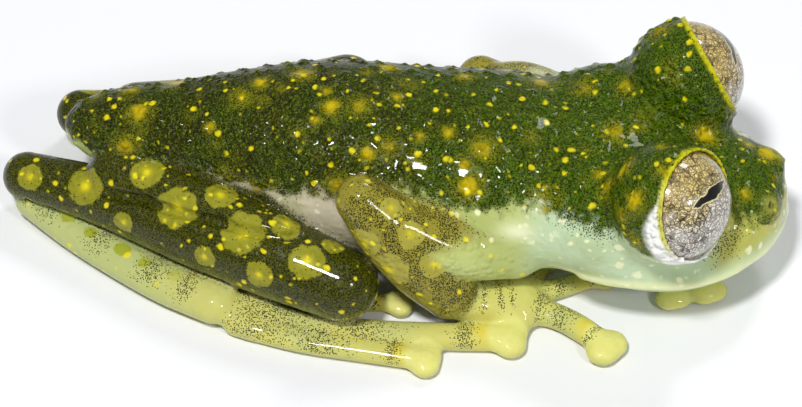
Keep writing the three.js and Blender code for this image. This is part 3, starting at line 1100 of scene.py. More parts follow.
LEFT_LEG = Leg(
    thigh=Strand(
        (
            (1.9, 12.0, 2.7, 1.45),
            (2.8, 9.0, 2.4, 1.5),
            (3.6, 6.5, 2.1, 1.4),
            (4.6, 4.2, 1.95, 1.2),
        ),
        softness=0.15,
    ),
    shank=Strand(
        (
            (5.3, 3.5, 2.1, 1.5),
            (4.15, 6.0, 1.97, 1.6),
            (3.35, 8.2, 1.85, 1.55),
            (2.75, 11.55, 1.8, 1.2),
            (2.55, 14.7, 1.75, 1.05),
        ),
        softness=0.12,
    ),
    foot=Paw(
        root=(
            (2.9, 14.6, 1.0, 0.88),
            (4.0, 12.5, 0.95, 0.85),
            (4.9, 10.4, 0.9, 0.9),
            (5.5, 8.0, 0.75, 1.05),
        ),
        web=((6.1, 5.6, 0.5, 0.6), (4.4, 5.6, 0.5, 0.6)),
        digits=(
            digit(0.42, 0.58, (4.5, 8.4, 0.6), (3.7, 7.0), (3.3, 5.9)),
            digit(0.42, 0.62, (4.8, 7.7, 0.6), (4.0, 5.5), (3.6, 3.9)),
            digit(0.44, 0.72, (5.1, 7.3, 0.6), (4.6, 4.0), (4.35, 1.0)),
            digit(0.48, 0.8, (5.5, 7.1, 0.6), (5.65, 3.2), (5.7, -0.3)),
            digit(0.46, 0.76, (5.9, 7.1, 0.6), (6.6, 4.8), (6.8, 2.7)),
        ),
    ),
)
ARMS = (RIGHT_ARM, LEFT_ARM)
LEGS = (RIGHT_LEG, LEFT_LEG)
PAWS = (RIGHT_ARM.hand, LEFT_ARM.hand, RIGHT_LEG.foot, LEFT_LEG.foot)
DIGITS = tuple(one for paw in PAWS for one in paw.digits)


# Markings that follow the anatomy

# Lower edge of the green of the back: its height in mm over the floor, from snout to rump
DORSAL_EDGE_Y = (-16.0, -14.3, -13.4, -11.0, -9.4, -8.4, -6.7, -4.2, -2.2, 0.0, 2.8, 6.2, 9.3, 13.0)
DORSAL_EDGE_Z = (4.3, 4.5, 5.2, 5.7, 6.2, 6.0, 6.0, 5.7, 5.6, 5.8, 5.3, 4.7, 4.4, 4.0)
# Width over which one part of the body blends into the next, in mm
BORDER = 0.07
# Height of the pale upper lip, and half its width, in mm
LIP_HEIGHT = 2.98
LIP_WIDTH = 0.26

# Light ovals: share of the limb's length, turn from its top to its outer side, radius in mm
SHANK_OVALS = (
    (0.1, 25, 0.78),
    (0.23, 70, 0.62),
    (0.33, 22, 0.95),
    (0.44, 74, 0.5),
    (0.56, 20, 0.9),
    (0.68, 72, 0.5),
    (0.8, 30, 0.85),
    (0.96, 40, 0.6),
)
THIGH_OVALS = ((0.14, 12, 0.75), (0.45, -5, 0.7), (0.76, -15, 0.65), (1.0, -25, 0.5))
FOOT_OVALS = (
    (0.06, 0, 0.5),
    (0.2, 0, 0.42),
    (0.33, 5, 0.36),
    (0.5, 0, 0.42),
    (0.63, 5, 0.36),
    (0.79, 0, 0.4),
)
FOREARM_OVALS = ((0.12, 12, 0.5), (0.34, 24, 0.6), (0.62, 30, 0.62), (0.45, 95, 0.9), (0.2, 100, 0.7))

# Bands of specks: share of the length, width as a share, strength
DIGIT_BANDS = ((0.12, 0.16, 0.75), (0.45, 0.12, 0.7), (0.84, 0.035, 1.0))
ROOT_BANDS = ((0.12, 0.05, 0.8), (0.41, 0.05, 0.9), (0.7, 0.06, 0.9), (0.88, 0.04, 0.8))


@dataclass(frozen=True)
class Patch:
    """Soft patches of one kind on both sides of the body.

    Args:
        name: name of the mask.
        size: distances along x, y and z over which a patch fades, in mm.
        middles: middles of the patches on the left side, in mm.
    """

    name: str
    size: Point
    middles: tuple[Point, ...]


PATCHES = (
    Patch("dark", (0.9, 0.75, 0.42), ((4.5, -7.3, 6.15), (4.75, -8.3, 6.0), (3.4, -13.4, 4.3))),
    Patch("light", (0.8, 0.75, 0.34), ((4.2, -5.0, 4.9),)),
    Patch("nostril", (0.34, 0.34, 0.34), ((1.5, -15.15, 4.92),)),
    # Painted shade: a near-black spot that stands for the dark inside of each nostril's opening
    Patch("pit_shade", (0.15, 0.15, 0.17), ((1.48, -15.12, 4.85),)),
)


@dataclass(frozen=True)
class LidMarks:
    """Where the marks of the lids lie, as seen from the middle of the left eye.

    Args:
        reach: distances from the eye's middle where the marks end and where they are full, in mm.
        rim_tilt: angles from the lids' axis where the yellow rim ends and where it is full, in degrees.
        fold_start: angle from the lids' axis at which the pale fold starts, in degrees.
        fold_width: its width above the eye, and what it gains behind the eye, in degrees.
        fold_way: direction in which the fold is widest.
    """

    reach: tuple[float, float] = (3.2, 2.85)
    rim_tilt: tuple[float, float] = (69.0, 66.0)
    fold_start: float = 61.0
    fold_width: tuple[float, float] = (6.0, 17.0)
    fold_way: Point = (0.72, 0.52, -0.42)


@dataclass
class Markings:
    """Masks over the skin, one value from 0 to 1 for each corner of its mesh.

    Args:
        points: corner places, in mm.
        normals: outward directions at the corners.
        eye: the shape of the eyes and lids.
        lids: the marks round the eyes.
        masks: the masks by name.
    """

    points: Array
    normals: Array
    eye: EyeShape
    lids: LidMarks = LidMarks()
    masks: dict[str, Array] = field(default_factory=dict)

    def blank(self) -> Array:
        """Return a mask that is 0 all over."""
        return np.zeros(len(self.points))

    def make(self, body: list[Lump]) -> dict[str, Array]:
        """Work out every mask.

        Args:
            body: the forms of the trunk and head.

        Returns:
            The masks by name.
        """
        self.share_out(body)
        self.around_eyes()
        self.regions()
        for patch in PATCHES:
            self.blotch(patch)
        self.tips()
        self.limb_ovals()
        self.paw_bands()
        self.shoulders()
        return self.masks

    def nearest(self, forms: Iterable[Form]) -> Array:
        """Measure how near each corner is to the nearest of some forms.

        Args:
            forms: the forms.

        Returns:
            The distance of each corner, in mm.
        """
        x, y, z = self.points.T
        best = np.full(len(x), 9.0)
        for form in forms:
            low, high = form.box()
            inside = (self.points > low - JOIN_MARGIN) & (self.points < high + JOIN_MARGIN)
            near = np.all(inside, axis=1)
            best[near] = np.minimum(best[near], form.distance(x[near], y[near], z[near]))
        return best

    def share_out(self, body: list[Lump]) -> None:
        """Give each corner to body, arms, legs or paws, with soft borders.

        Args:
            body: the forms of the trunk and head.
        """
        groups = {
            "body": body,
            "arm": [part for arm in ARMS for part in (arm.upper, arm.fore)],
            "leg": [part for leg in LEGS for part in (leg.thigh, leg.shank)],
            "paw": [form for paw in PAWS for form in paw.forms()],
        }
        weights = {name: np.exp(-self.nearest(forms) / BORDER) for name, forms in groups.items()}
        total = sum(weights.values()) + 1e-12
        for name, weight in weights.items():
            self.masks[name] = weight / total

    def around_eyes(self) -> None:
        """Mark the rim of the lids and the pale fold behind and below the eye."""
        lids = self.lids
        rim = self.blank()
        crescent = self.blank()
        for side in Side:
            axis = unit(self.eye.axis(side))
            away = self.points - np.array(self.eye.centre(side))
            reach = np.maximum(np.linalg.norm(away, axis=1), 1e-6)
            tilt = np.degrees(np.arccos(np.clip(away @ axis / reach, -1, 1)))
            across = away - np.outer(away @ axis, axis)
            across /= np.maximum(np.linalg.norm(across, axis=1), 1e-6)[:, None]
            up = across @ unit(np.array((0, 0, 1)) - axis * axis[2])
            behind = np.array((side.value * lids.fold_way[0], *lids.fold_way[1:]))
            behind = across @ unit(behind - axis * (behind @ axis))
            near = smoothstep(*lids.reach, reach)
            edge = near * smoothstep(*lids.rim_tilt, tilt) * smoothstep(-0.6, 0.1, up)
            rim = np.maximum(rim, edge)
            width = lids.fold_width[0] + lids.fold_width[1] * smoothstep(0.4, 0.95, behind)
            below = smoothstep(0.0, 0.5, np.maximum(behind, -up * 0.8))
            pale = near * below * smoothstep(1.15, 0.75, (tilt - lids.fold_start) / width)
            crescent = np.maximum(crescent, pale)
        self.masks["rim"] = rim
        self.masks["crescent"] = crescent

    def blotch(self, patch: Patch) -> None:
        """Mark soft patches on the left side and, mirrored, on the right side.

        Args:
            patch: the patches of one kind.
        """
        mask = self.blank()
        for x, y, z in patch.middles:
            for side in Side:
                away = (self.points - np.array((side.value * x, y, z))) / np.array(patch.size)
                mask = np.maximum(mask, np.exp(-np.sum(away**2, axis=1)))
        self.masks[patch.name] = mask

    def regions(self) -> None:
        """Mark the green back, the pale cheeks and lip, the snout, the flank and what faces down."""
        _, y, z = self.points.T
        edge = np.interp(y, DORSAL_EDGE_Y, DORSAL_EDGE_Z)
        lip = np.exp(-(((z - LIP_HEIGHT) / LIP_WIDTH) ** 2))
        # Each mask goes from 0 to 1 between two places along the body or over the floor, in mm
        self.masks["dorsal"] = smoothstep(-0.8, 0.8, z - edge)
        self.masks["cheek"] = smoothstep(-4.6, -6.4, y)
        self.masks["snout"] = smoothstep(-12.4, -13.6, y) * smoothstep(3.0, 4.0, z)
        self.masks["front"] = smoothstep(7.0, -11.0, y)
        self.masks["belly"] = smoothstep(-1.0, 2.0, y) * smoothstep(11.0, 6.0, y)
        self.masks["lip"] = lip * smoothstep(-6.0, -7.5, y)
        self.masks["under"] = smoothstep(0.2, -0.5, self.normals[:, 2])

    def limb_ovals(self) -> None:
        """Mark the light ovals of the limbs: one half at an oval's edge, and 1 in its middle."""
        mask = self.blank()
        middle = self.blank()
        rows = [(leg.thigh, THIGH_OVALS) for leg in LEGS]
        rows += [(leg.shank, SHANK_OVALS) for leg in LEGS]
        rows += [(leg.foot.root_strand(), FOOT_OVALS) for leg in LEGS]
        rows += [(arm.fore, FOREARM_OVALS) for arm in ARMS]
        for strand, ovals in rows:
            for share, turn, radius in ovals:
                away = np.linalg.norm(self.points - strand.place_on_skin(share, turn), axis=1)
                mask = np.maximum(mask, np.clip(1 - away / (2 * radius), 0, 1))
                middle = np.maximum(middle, np.exp(-((away / (0.24 * radius)) ** 2)))
        self.masks["oval"] = mask
        self.masks["oval_middle"] = middle

    def bands_on(self, strand: Strand, rows: Sequence[Point]) -> tuple[Array, Array, Array]:
        """Mark bands across a strand.

        Args:
            strand: the digit or the root of the paw.
            rows: share of the length, width as a share and strength of each band.

        Returns:
            How strong the bands are, how near the strand is from 0 to 1, and the share of its length.
        """
        distance, way = strand.distance_and_way(*self.points.T)
        share = way / strand.length()
        bands = [strength * np.exp(-(((share - at) / width) ** 2)) for at, width, strength in rows]
        return np.max(bands, axis=0), smoothstep(0.3, 0.08, distance), share

    def paw_bands(self) -> None:
        """Mark the bands of dark specks across the digits and the foot, and the long heel."""
        z = self.points[:, 2]
        bands = self.blank()
        heel = self.blank()
        for paw in PAWS:
            root = paw.root_strand()
            band, near, share = self.bands_on(root, ROOT_BANDS)
            bands = np.maximum(bands, near * (band * smoothstep(0.9, 1.5, z)))
            if root.length() > 5:
                heel = np.maximum(heel, near * smoothstep(1.0, 0.55, share))
            for one in paw.digits:
                band, near, _ = self.bands_on(one.strand(), DIGIT_BANDS)
                bands = np.maximum(bands, near * band)
        self.masks["bands"] = bands * smoothstep(-0.1, 0.35, self.normals[:, 2])
        self.masks["heel"] = heel

    def shoulders(self) -> None:
        """Mark the pale part of the upper arm, as far as the forearm lies clear of it."""
        x, y, z = self.points.T
        shoulder = self.blank()
        for arm in ARMS:
            distance, way = arm.upper.distance_and_way(x, y, z)
            near = smoothstep(0.4, 0.1, distance)
            pale = near * smoothstep(0.75, 0.4, way / arm.upper.length())
            shoulder = np.maximum(shoulder, pale)
            shoulder *= smoothstep(-0.05, 0.25, arm.fore.distance(x, y, z))
        self.masks["shoulder"] = shoulder * smoothstep(5.0, 4.2, z)

    def tips(self) -> None:
        """Mark the discs of the digits and the bases of the discs."""
        disc = self.blank()
        base = self.blank()
        for one in DIGITS:
            tip = np.array(one.places[-1])
            behind = unit(np.array(one.places[-2]) - tip)
            away = np.linalg.norm((self.points - tip)[:, :2], axis=1)
            disc = np.maximum(disc, smoothstep(one.disc * 1.15, one.disc * 0.8, away))
            away = np.linalg.norm((self.points - tip - behind * one.disc)[:, :2], axis=1)
            base = np.maximum(base, np.exp(-((away / 0.5) ** 2)))
        self.masks["disc"] = disc
        self.masks["disc_base"] = base


@dataclass(frozen=True)
class Tubercles:
    """Fine warts of the back, which stand a little out of the skin.

    Args:
        count: number of warts.
        width: radius of a wart, in mm.
        height: how far a wart stands out, in mm.
        sizes: smallest and largest wart, as shares of the width and height.
        reach: how far from a wart's middle the skin still rises, in mm.
        seed: start of the random order.
    """

    count: int = 900
    width: float = 0.15
    height: float = 0.1
    sizes: tuple[float, float] = (0.6, 1.25)
    reach: float = 0.6
    seed: int = 7

    def raise_skin(self, points: Array, normals: Array, weight: Array) -> Array:
        """Push warts out of the skin.

        Args:
            points: corner places, in mm.
            normals: outward directions.
            weight: how likely a wart is at each corner.

        Returns:
            The new places, in mm.
        """
        rng = np.random.default_rng(self.seed)
        chosen = rng.choice(len(points), self.count, replace=False, p=weight / weight.sum())
        tree = KDTree(self.count)
        for index, corner in enumerate(chosen):
            tree.insert(Vector(points[corner]), index)
        tree.balance()
        sizes = rng.uniform(*self.sizes, self.count)
        wart = np.zeros(len(points))
        # A wart in a place of lower weight than this stays flat
        for corner in np.nonzero(weight > 0.02)[0]:
            _, index, distance = tree.find(Vector(points[corner]))
            if distance < self.reach:
                size = sizes[index]
                wart[corner] = math.exp(-((distance / (self.width * size)) ** 2)) * size
        return points + normals * (wart * self.height * smoothstep(0, 0.3, weight))[:, None]


# Finishes


def linear(hex_colour: str) -> tuple[float, float, float, float]:
    """Turn an sRGB colour into a linear one.

    Args:
        hex_colour: the colour, such as "#4a6004".

    Returns:
        Red, green, blue and an alpha of 1.
    """
    channels = [int(hex_colour[i : i + 2], 16) / 255 for i in (1, 3, 5)]
    turned = [c / 12.92 if c <= 0.04045 else ((c + 0.055) / 1.055) ** 2.4 for c in channels]
    return (*turned, 1.0)


@dataclass
class Surface:
    """A material's node tree, and the one way in which nodes are added to it.

    Args:
        name: name of the material.
    """

    name: str
    material: bpy.types.Material = field(init=False)

    def __post_init__(self) -> None:
        """Start with a tree that holds nothing."""
        self.material = bpy.data.materials.new(self.name)
        self.material.use_nodes = True
        self.material.node_tree.nodes.clear()

    def add(
        self,
        kind: str,
        inputs: dict[int | str, Input] | None = None,
        output: int | str = 0,
        **settings: str | bool,
    ) -> Socket | None:
        """Add a node with its settings and links.

        Args:
            kind: the node's type, without its common first part.
            inputs: values, hex colours or sockets for the node's inputs, by name or number.
            output: name or number of the output to return.
            settings: properties of the node.

        Returns:
            The chosen output socket, or nothing where the node has none.
        """
        tree = self.material.node_tree
        node = tree.nodes.new("ShaderNode" + kind)
        for key, value in settings.items():
            setattr(node, key, value)
        for key, value in (inputs or {}).items():
            if isinstance(value, Socket):
                tree.links.new(value, node.inputs[key])
            elif isinstance(value, str):
                node.inputs[key].default_value = linear(value)
            else:
                node.inputs[key].default_value = value
        return node.outputs[output] if node.outputs else None

    def blend(self, share: Input, first: Input, second: Input) -> Socket:
        """Return a colour that goes from the first to the second as the share goes from 0 to 1."""
        inputs = {0: share, 6: first, 7: second}
        return self.add("Mix", inputs, 2, data_type="RGBA", clamp_factor=True)

    def blend_value(self, share: Input, first: Input, second: Input) -> Socket:
        """Return a number that goes from the first to the second as the share goes from 0 to 1."""
        return self.add("Mix", {0: share, 2: first, 3: second}, data_type="FLOAT")

    def math(self, operation: Sum, *values: Input) -> Socket:
        """Return the result of a sum on up to three values."""
        return self.add("Math", dict(enumerate(values)), operation=operation.value)

    def times(self, first: Input, second: Input) -> Socket:
        """Return one value times another."""
        return self.math(Sum.MULTIPLY, first, second)

    def most(self, first: Input, second: Input) -> Socket:
        """Return the larger of two values."""
        return self.math(Sum.MAXIMUM, first, second)

    def ramp(
        self, value: Input, low: float, high: float, start: float = 0.0, end: float = 1.0
    ) -> Socket:
        """Ease a value from start at low to end at high."""
        inputs = {0: value, 1: low, 2: high, 3: start, 4: end}
        return self.add("MapRange", inputs, interpolation_type="SMOOTHSTEP")

    def sway(self, noise: Socket, start: float, end: float) -> Socket:
        """Spread soft noise, which mostly lies between 0.3 and 0.7, from start to end."""
        return self.ramp(noise, 0.3, 0.7, start, end)

    def scaled(self, vector: Socket, factor: float) -> Socket:
        """Return a vector times a number."""
        return self.add("VectorMath", {0: vector, 3: factor}, operation="SCALE")

    def moved(self, vector: Socket, shift: Socket) -> Socket:
        """Return the sum of two vectors."""
        return self.add("VectorMath", {0: vector, 1: shift}, operation="ADD")

    def mask(self, name: str) -> Socket:
        """Return one of the markings that are kept on the mesh."""
        return self.add("Attribute", output="Fac", attribute_name=name)

    def place(self) -> Socket:
        """Return the place on the piece, in mm."""
        return self.scaled(self.add("TexCoord", output="Object"), 1 / MM)

    def noise(self, place: Socket, per_mm: float, detail: float = 2.0, output: int = 0) -> Socket:
        """Add soft noise.

        Args:
            place: places, in mm.
            per_mm: waves for each mm.
            detail: how many finer layers it has.
            output: 0 for a value from 0 to 1, or 1 for three of them as a vector.

        Returns:
            The socket of the value or vector.
        """
        inputs = {"Vector": place, "Scale": per_mm, "Detail": detail}
        return self.add("TexNoise", inputs, output)

    def cells(self, place: Socket, spacing: float, output: str = "Distance") -> Socket:
        """Return a value of round cells of the given spacing in mm."""
        return self.add("TexVoronoi", {"Vector": place, "Scale": 1.0 / spacing}, output)

    def chance(self, place: Socket, spacing: float) -> Socket:
        """Return a value from 0 to 1 that each cell of the given spacing has of its own."""
        return self.add("SeparateColor", {0: self.cells(place, spacing, "Color")})

    def finish(self, inputs: dict[int | str, Input]) -> bpy.types.Material:
        """Close the tree with its shader.

        Args:
            inputs: values or sockets for the shader's inputs, by name.

        Returns:
            The material.
        """
        self.add("OutputMaterial", {"Surface": self.add("BsdfPrincipled", inputs)})
        return self.material


@dataclass(frozen=True)
class SkinColours:
    """Colours of the moist skin, named for the part or marking that they fill."""

    back_front: str = "#425c01"
    back_rear: str = "#303200"
    grain: str = "#5f7202"
    black: str = "#0a0b03"
    spot: str = "#d6b908"
    halo: str = "#85850a"
    dot: str = "#ecdb18"
    cream: str = "#eeefc4"
    snout: str = "#bcba5c"
    cheek: str = "#c2d6ae"
    flank: str = "#8f9a48"
    belly: str = "#cdc3a8"
    throat: str = "#b9c377"
    lip: str = "#e9ecb4"
    light: str = "#eef0cc"
    crescent: str = "#f4f4ee"
    rim: str = "#c8c414"
    leg_dark: str = "#4b4e08"
    leg_oval: str = "#8c8a22"
    leg_under: str = "#767a44"
    arm: str = "#a29a3c"
    arm_dark: str = "#8f872f"
    foot_oval: str = "#a3ab34"
    foot: str = "#b9c07c"
    paw: str = "#ccc86e"
    disc: str = "#dcd980"
    disc_base: str = "#dccb48"
    nostril: str = "#c9c45a"
    # Painted shade: near black for the dark inside of the nostrils' openings
    pit_shade: str = "#23220d"


@dataclass(frozen=True)
class Dots:
    """Round dots of pigment.

    Args:
        spacing: middle to middle, in mm.
        radius: radius of a middling dot, in mm.
        soft: width of a dot's edge, in mm.
    """

    spacing: float
    radius: float
    soft: float = 0.05

    def on(self, s: Surface, place: Socket) -> Socket:
        """Scatter the dots over a surface, each with a size of its own.

        Args:
            s: the material that they are for.
            place: places on the skin, in mm.

        Returns:
            A value that is 1 in the dots.
        """
        distance = s.cells(place, self.spacing)
        size = s.ramp(s.chance(place, self.spacing), 0.0, 1.0, 0.45, 1.25)
        edge = s.math(Sum.SUBTRACT, distance, s.times(size, self.radius / self.spacing))
        soft = self.soft / self.spacing
        return s.ramp(edge, -soft, soft, 1.0, 0.0)


@dataclass(frozen=True)
class Zones:
    """Values over the skin that several parts of its material read.

    Args:
        place: places on the skin, in mm.
        loose, ragged: the same places, bent a little and bent more finely.
        cloud, fine: soft noise of a few millimetres and of half a millimetre.
        dorsal: 1 on the green of the back and crown.
        oval: 1 in the light ovals of the limbs.
        under: 1 where the skin faces down.
        limbs: 1 on arms and legs.
        spotted: 1 on the body's part of the green.
        pale: 1 on the rest of the body.
    """

    place: Socket
    loose: Socket
    ragged: Socket
    cloud: Socket
    fine: Socket
    dorsal: Socket
    oval: Socket
    under: Socket
    limbs: Socket
    spotted: Socket
    pale: Socket


@dataclass(frozen=True)
class MoistSkin:
    """Amphibian skin: thin, half clear and wet, so it glows where it is pale and sparkles on its grain.

    Args:
        colours: the colours of its parts.
        speck_mm: spacing of the black pigment cells; 0.06 mm is as fine as the picture can show.
        cluster_mm: spacing of the clusters that these cells form on the arms.
        stipple_mm: spacing of the light stipple under the specks of the back.
        grain_mm: spacing of the skin's own grain, which breaks the gloss.
        grain_height: height of that grain, in mm.
        cloud_mm, fine_mm: spacing of the two soft noises.
        bend, fray: waves for each mm, and how far they push the dots out of round, in mm.
        spots, haloes: the large soft spots of the back, and the light ring of each.
        dots: the small yellow dots.
        cream: the cream dots of the cheeks and flanks.
        foot_dots: the dots of the long heel.
    """

    colours: SkinColours = SkinColours()
    speck_mm: float = 0.06
    cluster_mm: float = 1.3
    stipple_mm: float = 0.1
    grain_mm: float = 0.3
    grain_height: float = 0.11
    cloud_mm: float = 2.4
    fine_mm: float = 0.45
    bend: tuple[float, float] = (2.2, 0.3)
    fray: tuple[float, float] = (9.0, 0.12)
    spots: Dots = Dots(1.5, 0.27, 0.2)
    haloes: Dots = Dots(1.5, 0.62, 0.3)
    dots: Dots = Dots(0.56, 0.105)
    cream: Dots = Dots(0.8, 0.17)
    foot_dots: Dots = Dots(0.9, 0.15)

    def zones(self, s: Surface) -> Zones:
        """Work out what the parts of the material share.

        Args:
            s: the material.

        Returns:
            The shared values.
        """
        place = s.place()
        bend_per_mm, bend = self.bend
        fray_per_mm, fray = self.fray
        loose = s.moved(place, s.scaled(s.noise(place, bend_per_mm, output=1), bend))
        ragged = s.moved(loose, s.scaled(s.noise(place, fray_per_mm, output=1), fray))
        cloud = s.noise(place, 1.0 / self.cloud_mm, 3.0)
        fine = s.noise(place, 1.0 / self.fine_mm, 3.0)
        # The edge of the back's green is ragged, as pigment cells thin out down the flank
        dorsal = s.math(Sum.ADD, s.mask("dorsal"), s.sway(fine, -0.2, 0.2))
        dorsal = s.ramp(dorsal, 0.2, 0.8)
        oval = s.math(Sum.ADD, s.mask("oval"), s.sway(fine, -0.05, 0.05))
        return Zones(
            place=place,
            loose=loose,
            ragged=ragged,
            cloud=cloud,
            fine=fine,
            dorsal=dorsal,
            oval=s.ramp(oval, 0.47, 0.56),
            under=s.mask("under"),
            limbs=s.math(Sum.ADD, s.mask("leg"), s.mask("arm")),
            spotted=s.times(s.mask("body"), dorsal),
            pale=s.times(s.mask("body"), s.ramp(dorsal, 0.2, 0.8, 1.0, 0.0)),
        )

    def ground(self, s: Surface, zones: Zones) -> Socket:
        """Colour the skin under its specks and dots.

        Args:
            s: the material.
            zones: its shared values.

        Returns:
            The colour.
        """
        c = self.colours
        front = s.math(Sum.ADD, s.mask("front"), s.sway(zones.cloud, -0.35, 0.35))
        stipple = s.ramp(s.noise(zones.place, 1.0 / self.stipple_mm, 3.0), 0.5, 0.62, 0.0, 0.75)
        back = s.blend(stipple, s.blend(front, c.back_rear, c.back_front), c.grain)
        face = s.blend(s.mask("cheek"), c.throat, s.blend(s.mask("snout"), c.cheek, c.snout))
        pale = s.blend(s.mask("belly"), face, c.belly)
        pale = s.blend(s.ramp(zones.cloud, 0.4, 0.65, 0.0, 0.3), pale, c.flank)
        pale = s.blend(s.times(s.mask("lip"), 0.95), pale, c.lip)
        leg = s.blend(zones.under, s.blend(zones.oval, c.leg_dark, c.leg_oval), c.leg_under)
        arm = s.blend(s.mask("shoulder"), s.blend(zones.oval, c.arm_dark, c.arm), pale)
        paw = s.blend(s.ramp(zones.cloud, 0.4, 0.62, 0.0, 0.55), c.paw, c.foot)
        paw = s.blend(s.mask("heel"), paw, s.blend(zones.oval, c.foot, c.foot_oval))
        paw = s.blend(s.mask("disc"), s.blend(s.mask("disc_base"), paw, c.disc_base), c.disc)
        colour = s.blend(zones.dorsal, pale, back)
        for name, part in (("leg", leg), ("arm", arm), ("paw", paw)):
            colour = s.blend(s.mask(name), colour, part)
        return colour

    def specks(self, s: Surface, zones: Zones) -> Socket:
        """Strew the black pigment cells, which lie closer where a marking is darker.

        Args:
            s: the material.
            zones: its shared values.

        Returns:
            A value that is 1 in the cells.
        """
        body = s.times(zones.spotted, s.sway(zones.cloud, 0.4, 0.8))
        body = s.most(body, s.times(s.mask("dark"), 0.9))
        limb = s.times(s.ramp(zones.oval, 0.0, 1.0, 0.9, 0.05), s.ramp(zones.under, 0, 1, 1, 0.35))
        clusters = s.ramp(s.noise(zones.place, 1.0 / self.cluster_mm, 1.0), 0.42, 0.52, 0.15, 1.0)
        limb = s.times(limb, s.blend_value(s.mask("arm"), 1.0, clusters))
        limb = s.times(limb, s.ramp(s.mask("shoulder"), 0.0, 0.7, 1.0, 0.0))
        density = s.math(Sum.ADD, body, s.times(zones.limbs, limb))
        density = s.math(Sum.ADD, density, s.times(s.mask("paw"), s.mask("bands")))
        near = s.ramp(s.cells(zones.place, self.speck_mm), 0.4, 0.6, 1.0, 0.0)
        return s.times(near, s.math(Sum.LESS_THAN, s.chance(zones.place, self.speck_mm), density))

    def yellow(self, s: Surface, zones: Zones) -> Socket:
        """Scatter the small dots over the body and limbs, and set one in each oval.

        Args:
            s: the material.
            zones: its shared values.

        Returns:
            A value that is 1 in the dots.
        """
        bare = s.most(s.mask("paw"), s.mask("crescent"))
        dots = s.times(self.dots.on(s, zones.loose), s.ramp(bare, 0.0, 0.6, 1.0, 0.0))
        dots = s.most(dots, s.times(self.foot_dots.on(s, zones.ragged), s.mask("heel")))
        leg_and_foot = s.math(Sum.ADD, zones.limbs, s.mask("heel"))
        return s.most(dots, s.times(s.mask("oval_middle"), leg_and_foot))

    def colour(self, s: Surface, zones: Zones) -> Socket:
        """Lay spots, specks, dots, the marks of the face and the painted shade in the nostrils over the
        ground.

        Args:
            s: the material.
            zones: its shared values.

        Returns:
            The colour of the skin.
        """
        c = self.colours
        spots = s.times(self.spots.on(s, zones.ragged), zones.spotted)
        haloes = s.times(self.haloes.on(s, zones.ragged), zones.spotted)
        specks = s.times(self.specks(s, zones), s.ramp(spots, 0.0, 1.0, 0.95, 0.2))
        cream = s.times(s.times(self.cream.on(s, zones.ragged), zones.pale), s.mask("cheek"))
        layers = (
            (haloes, 0.55, c.halo),
            (specks, 1.0, c.black),
            (spots, 0.7, c.spot),
            (self.yellow(s, zones), 0.85, s.blend(zones.pale, c.dot, c.cream)),
            (cream, 0.8, c.cream),
            (s.mask("light"), 0.8, c.light),
            (s.mask("crescent"), 1.0, c.crescent),
            (s.mask("rim"), 0.9, c.rim),
            (s.mask("nostril"), 0.7, c.nostril),
            # Painted shade: the nostrils' openings are laid in near black
            (s.mask("pit_shade"), 1.0, c.pit_shade),
        )
        colour = self.ground(s, zones)
        for share, strength, top in layers:
            colour = s.blend(s.times(share, strength), colour, top)
        return colour

    def wet_grain(self, s: Surface, zones: Zones) -> Socket:
        """Raise low granules, which break the gloss of the wet skin into points.

        Args:
            s: the material.
            zones: its shared values.

        Returns:
            The normals of the grain.
        """
        grain = s.ramp(s.cells(zones.place, self.grain_mm), 0.0, 0.7, 1.0, 0.0)
        rough = s.most(s.times(zones.limbs, 0.45), zones.spotted)
        height = s.times(grain, s.ramp(rough, 0.0, 1.0, 0.16, 1.0))
        height = s.math(Sum.ADD, height, s.times(zones.fine, 0.35))
        inputs = {"Strength": 1.0, "Distance": self.grain_height * MM, "Height": height}
        return s.add("Bump", inputs)

    def make(self) -> bpy.types.Material:
        """Build the material.

        Returns:
            The material, which reads the masks that the mesh holds.
        """
        s = Surface("moist amphibian skin")
        zones = self.zones(s)
        # Light passes through the pale skin and the paws, and hardly through the limbs
        clear = s.most(s.ramp(zones.dorsal, 0.0, 1.0, 0.5, 0.0), s.mask("paw"))
        clear = s.times(clear, s.ramp(zones.limbs, 0.0, 1.0, 1.0, 0.25))
        return s.finish(
            {
                "Base Color": self.colour(s, zones),
                "Roughness": s.sway(zones.fine, 0.34, 0.5),
                "IOR": 1.38,
                "Subsurface Weight": s.times(clear, 0.5),
                "Subsurface Radius": (1.0, 0.85, 0.3),
                "Subsurface Scale": 0.4 * MM,
                "Specular IOR Level": 0.15,
                "Coat Weight": s.ramp(zones.spotted, 0.0, 1.0, 0.6, 0.36),
                "Coat Roughness": 0.04,
                "Coat IOR": 1.34,
                "Normal": self.wet_grain(s, zones),
            }
        )


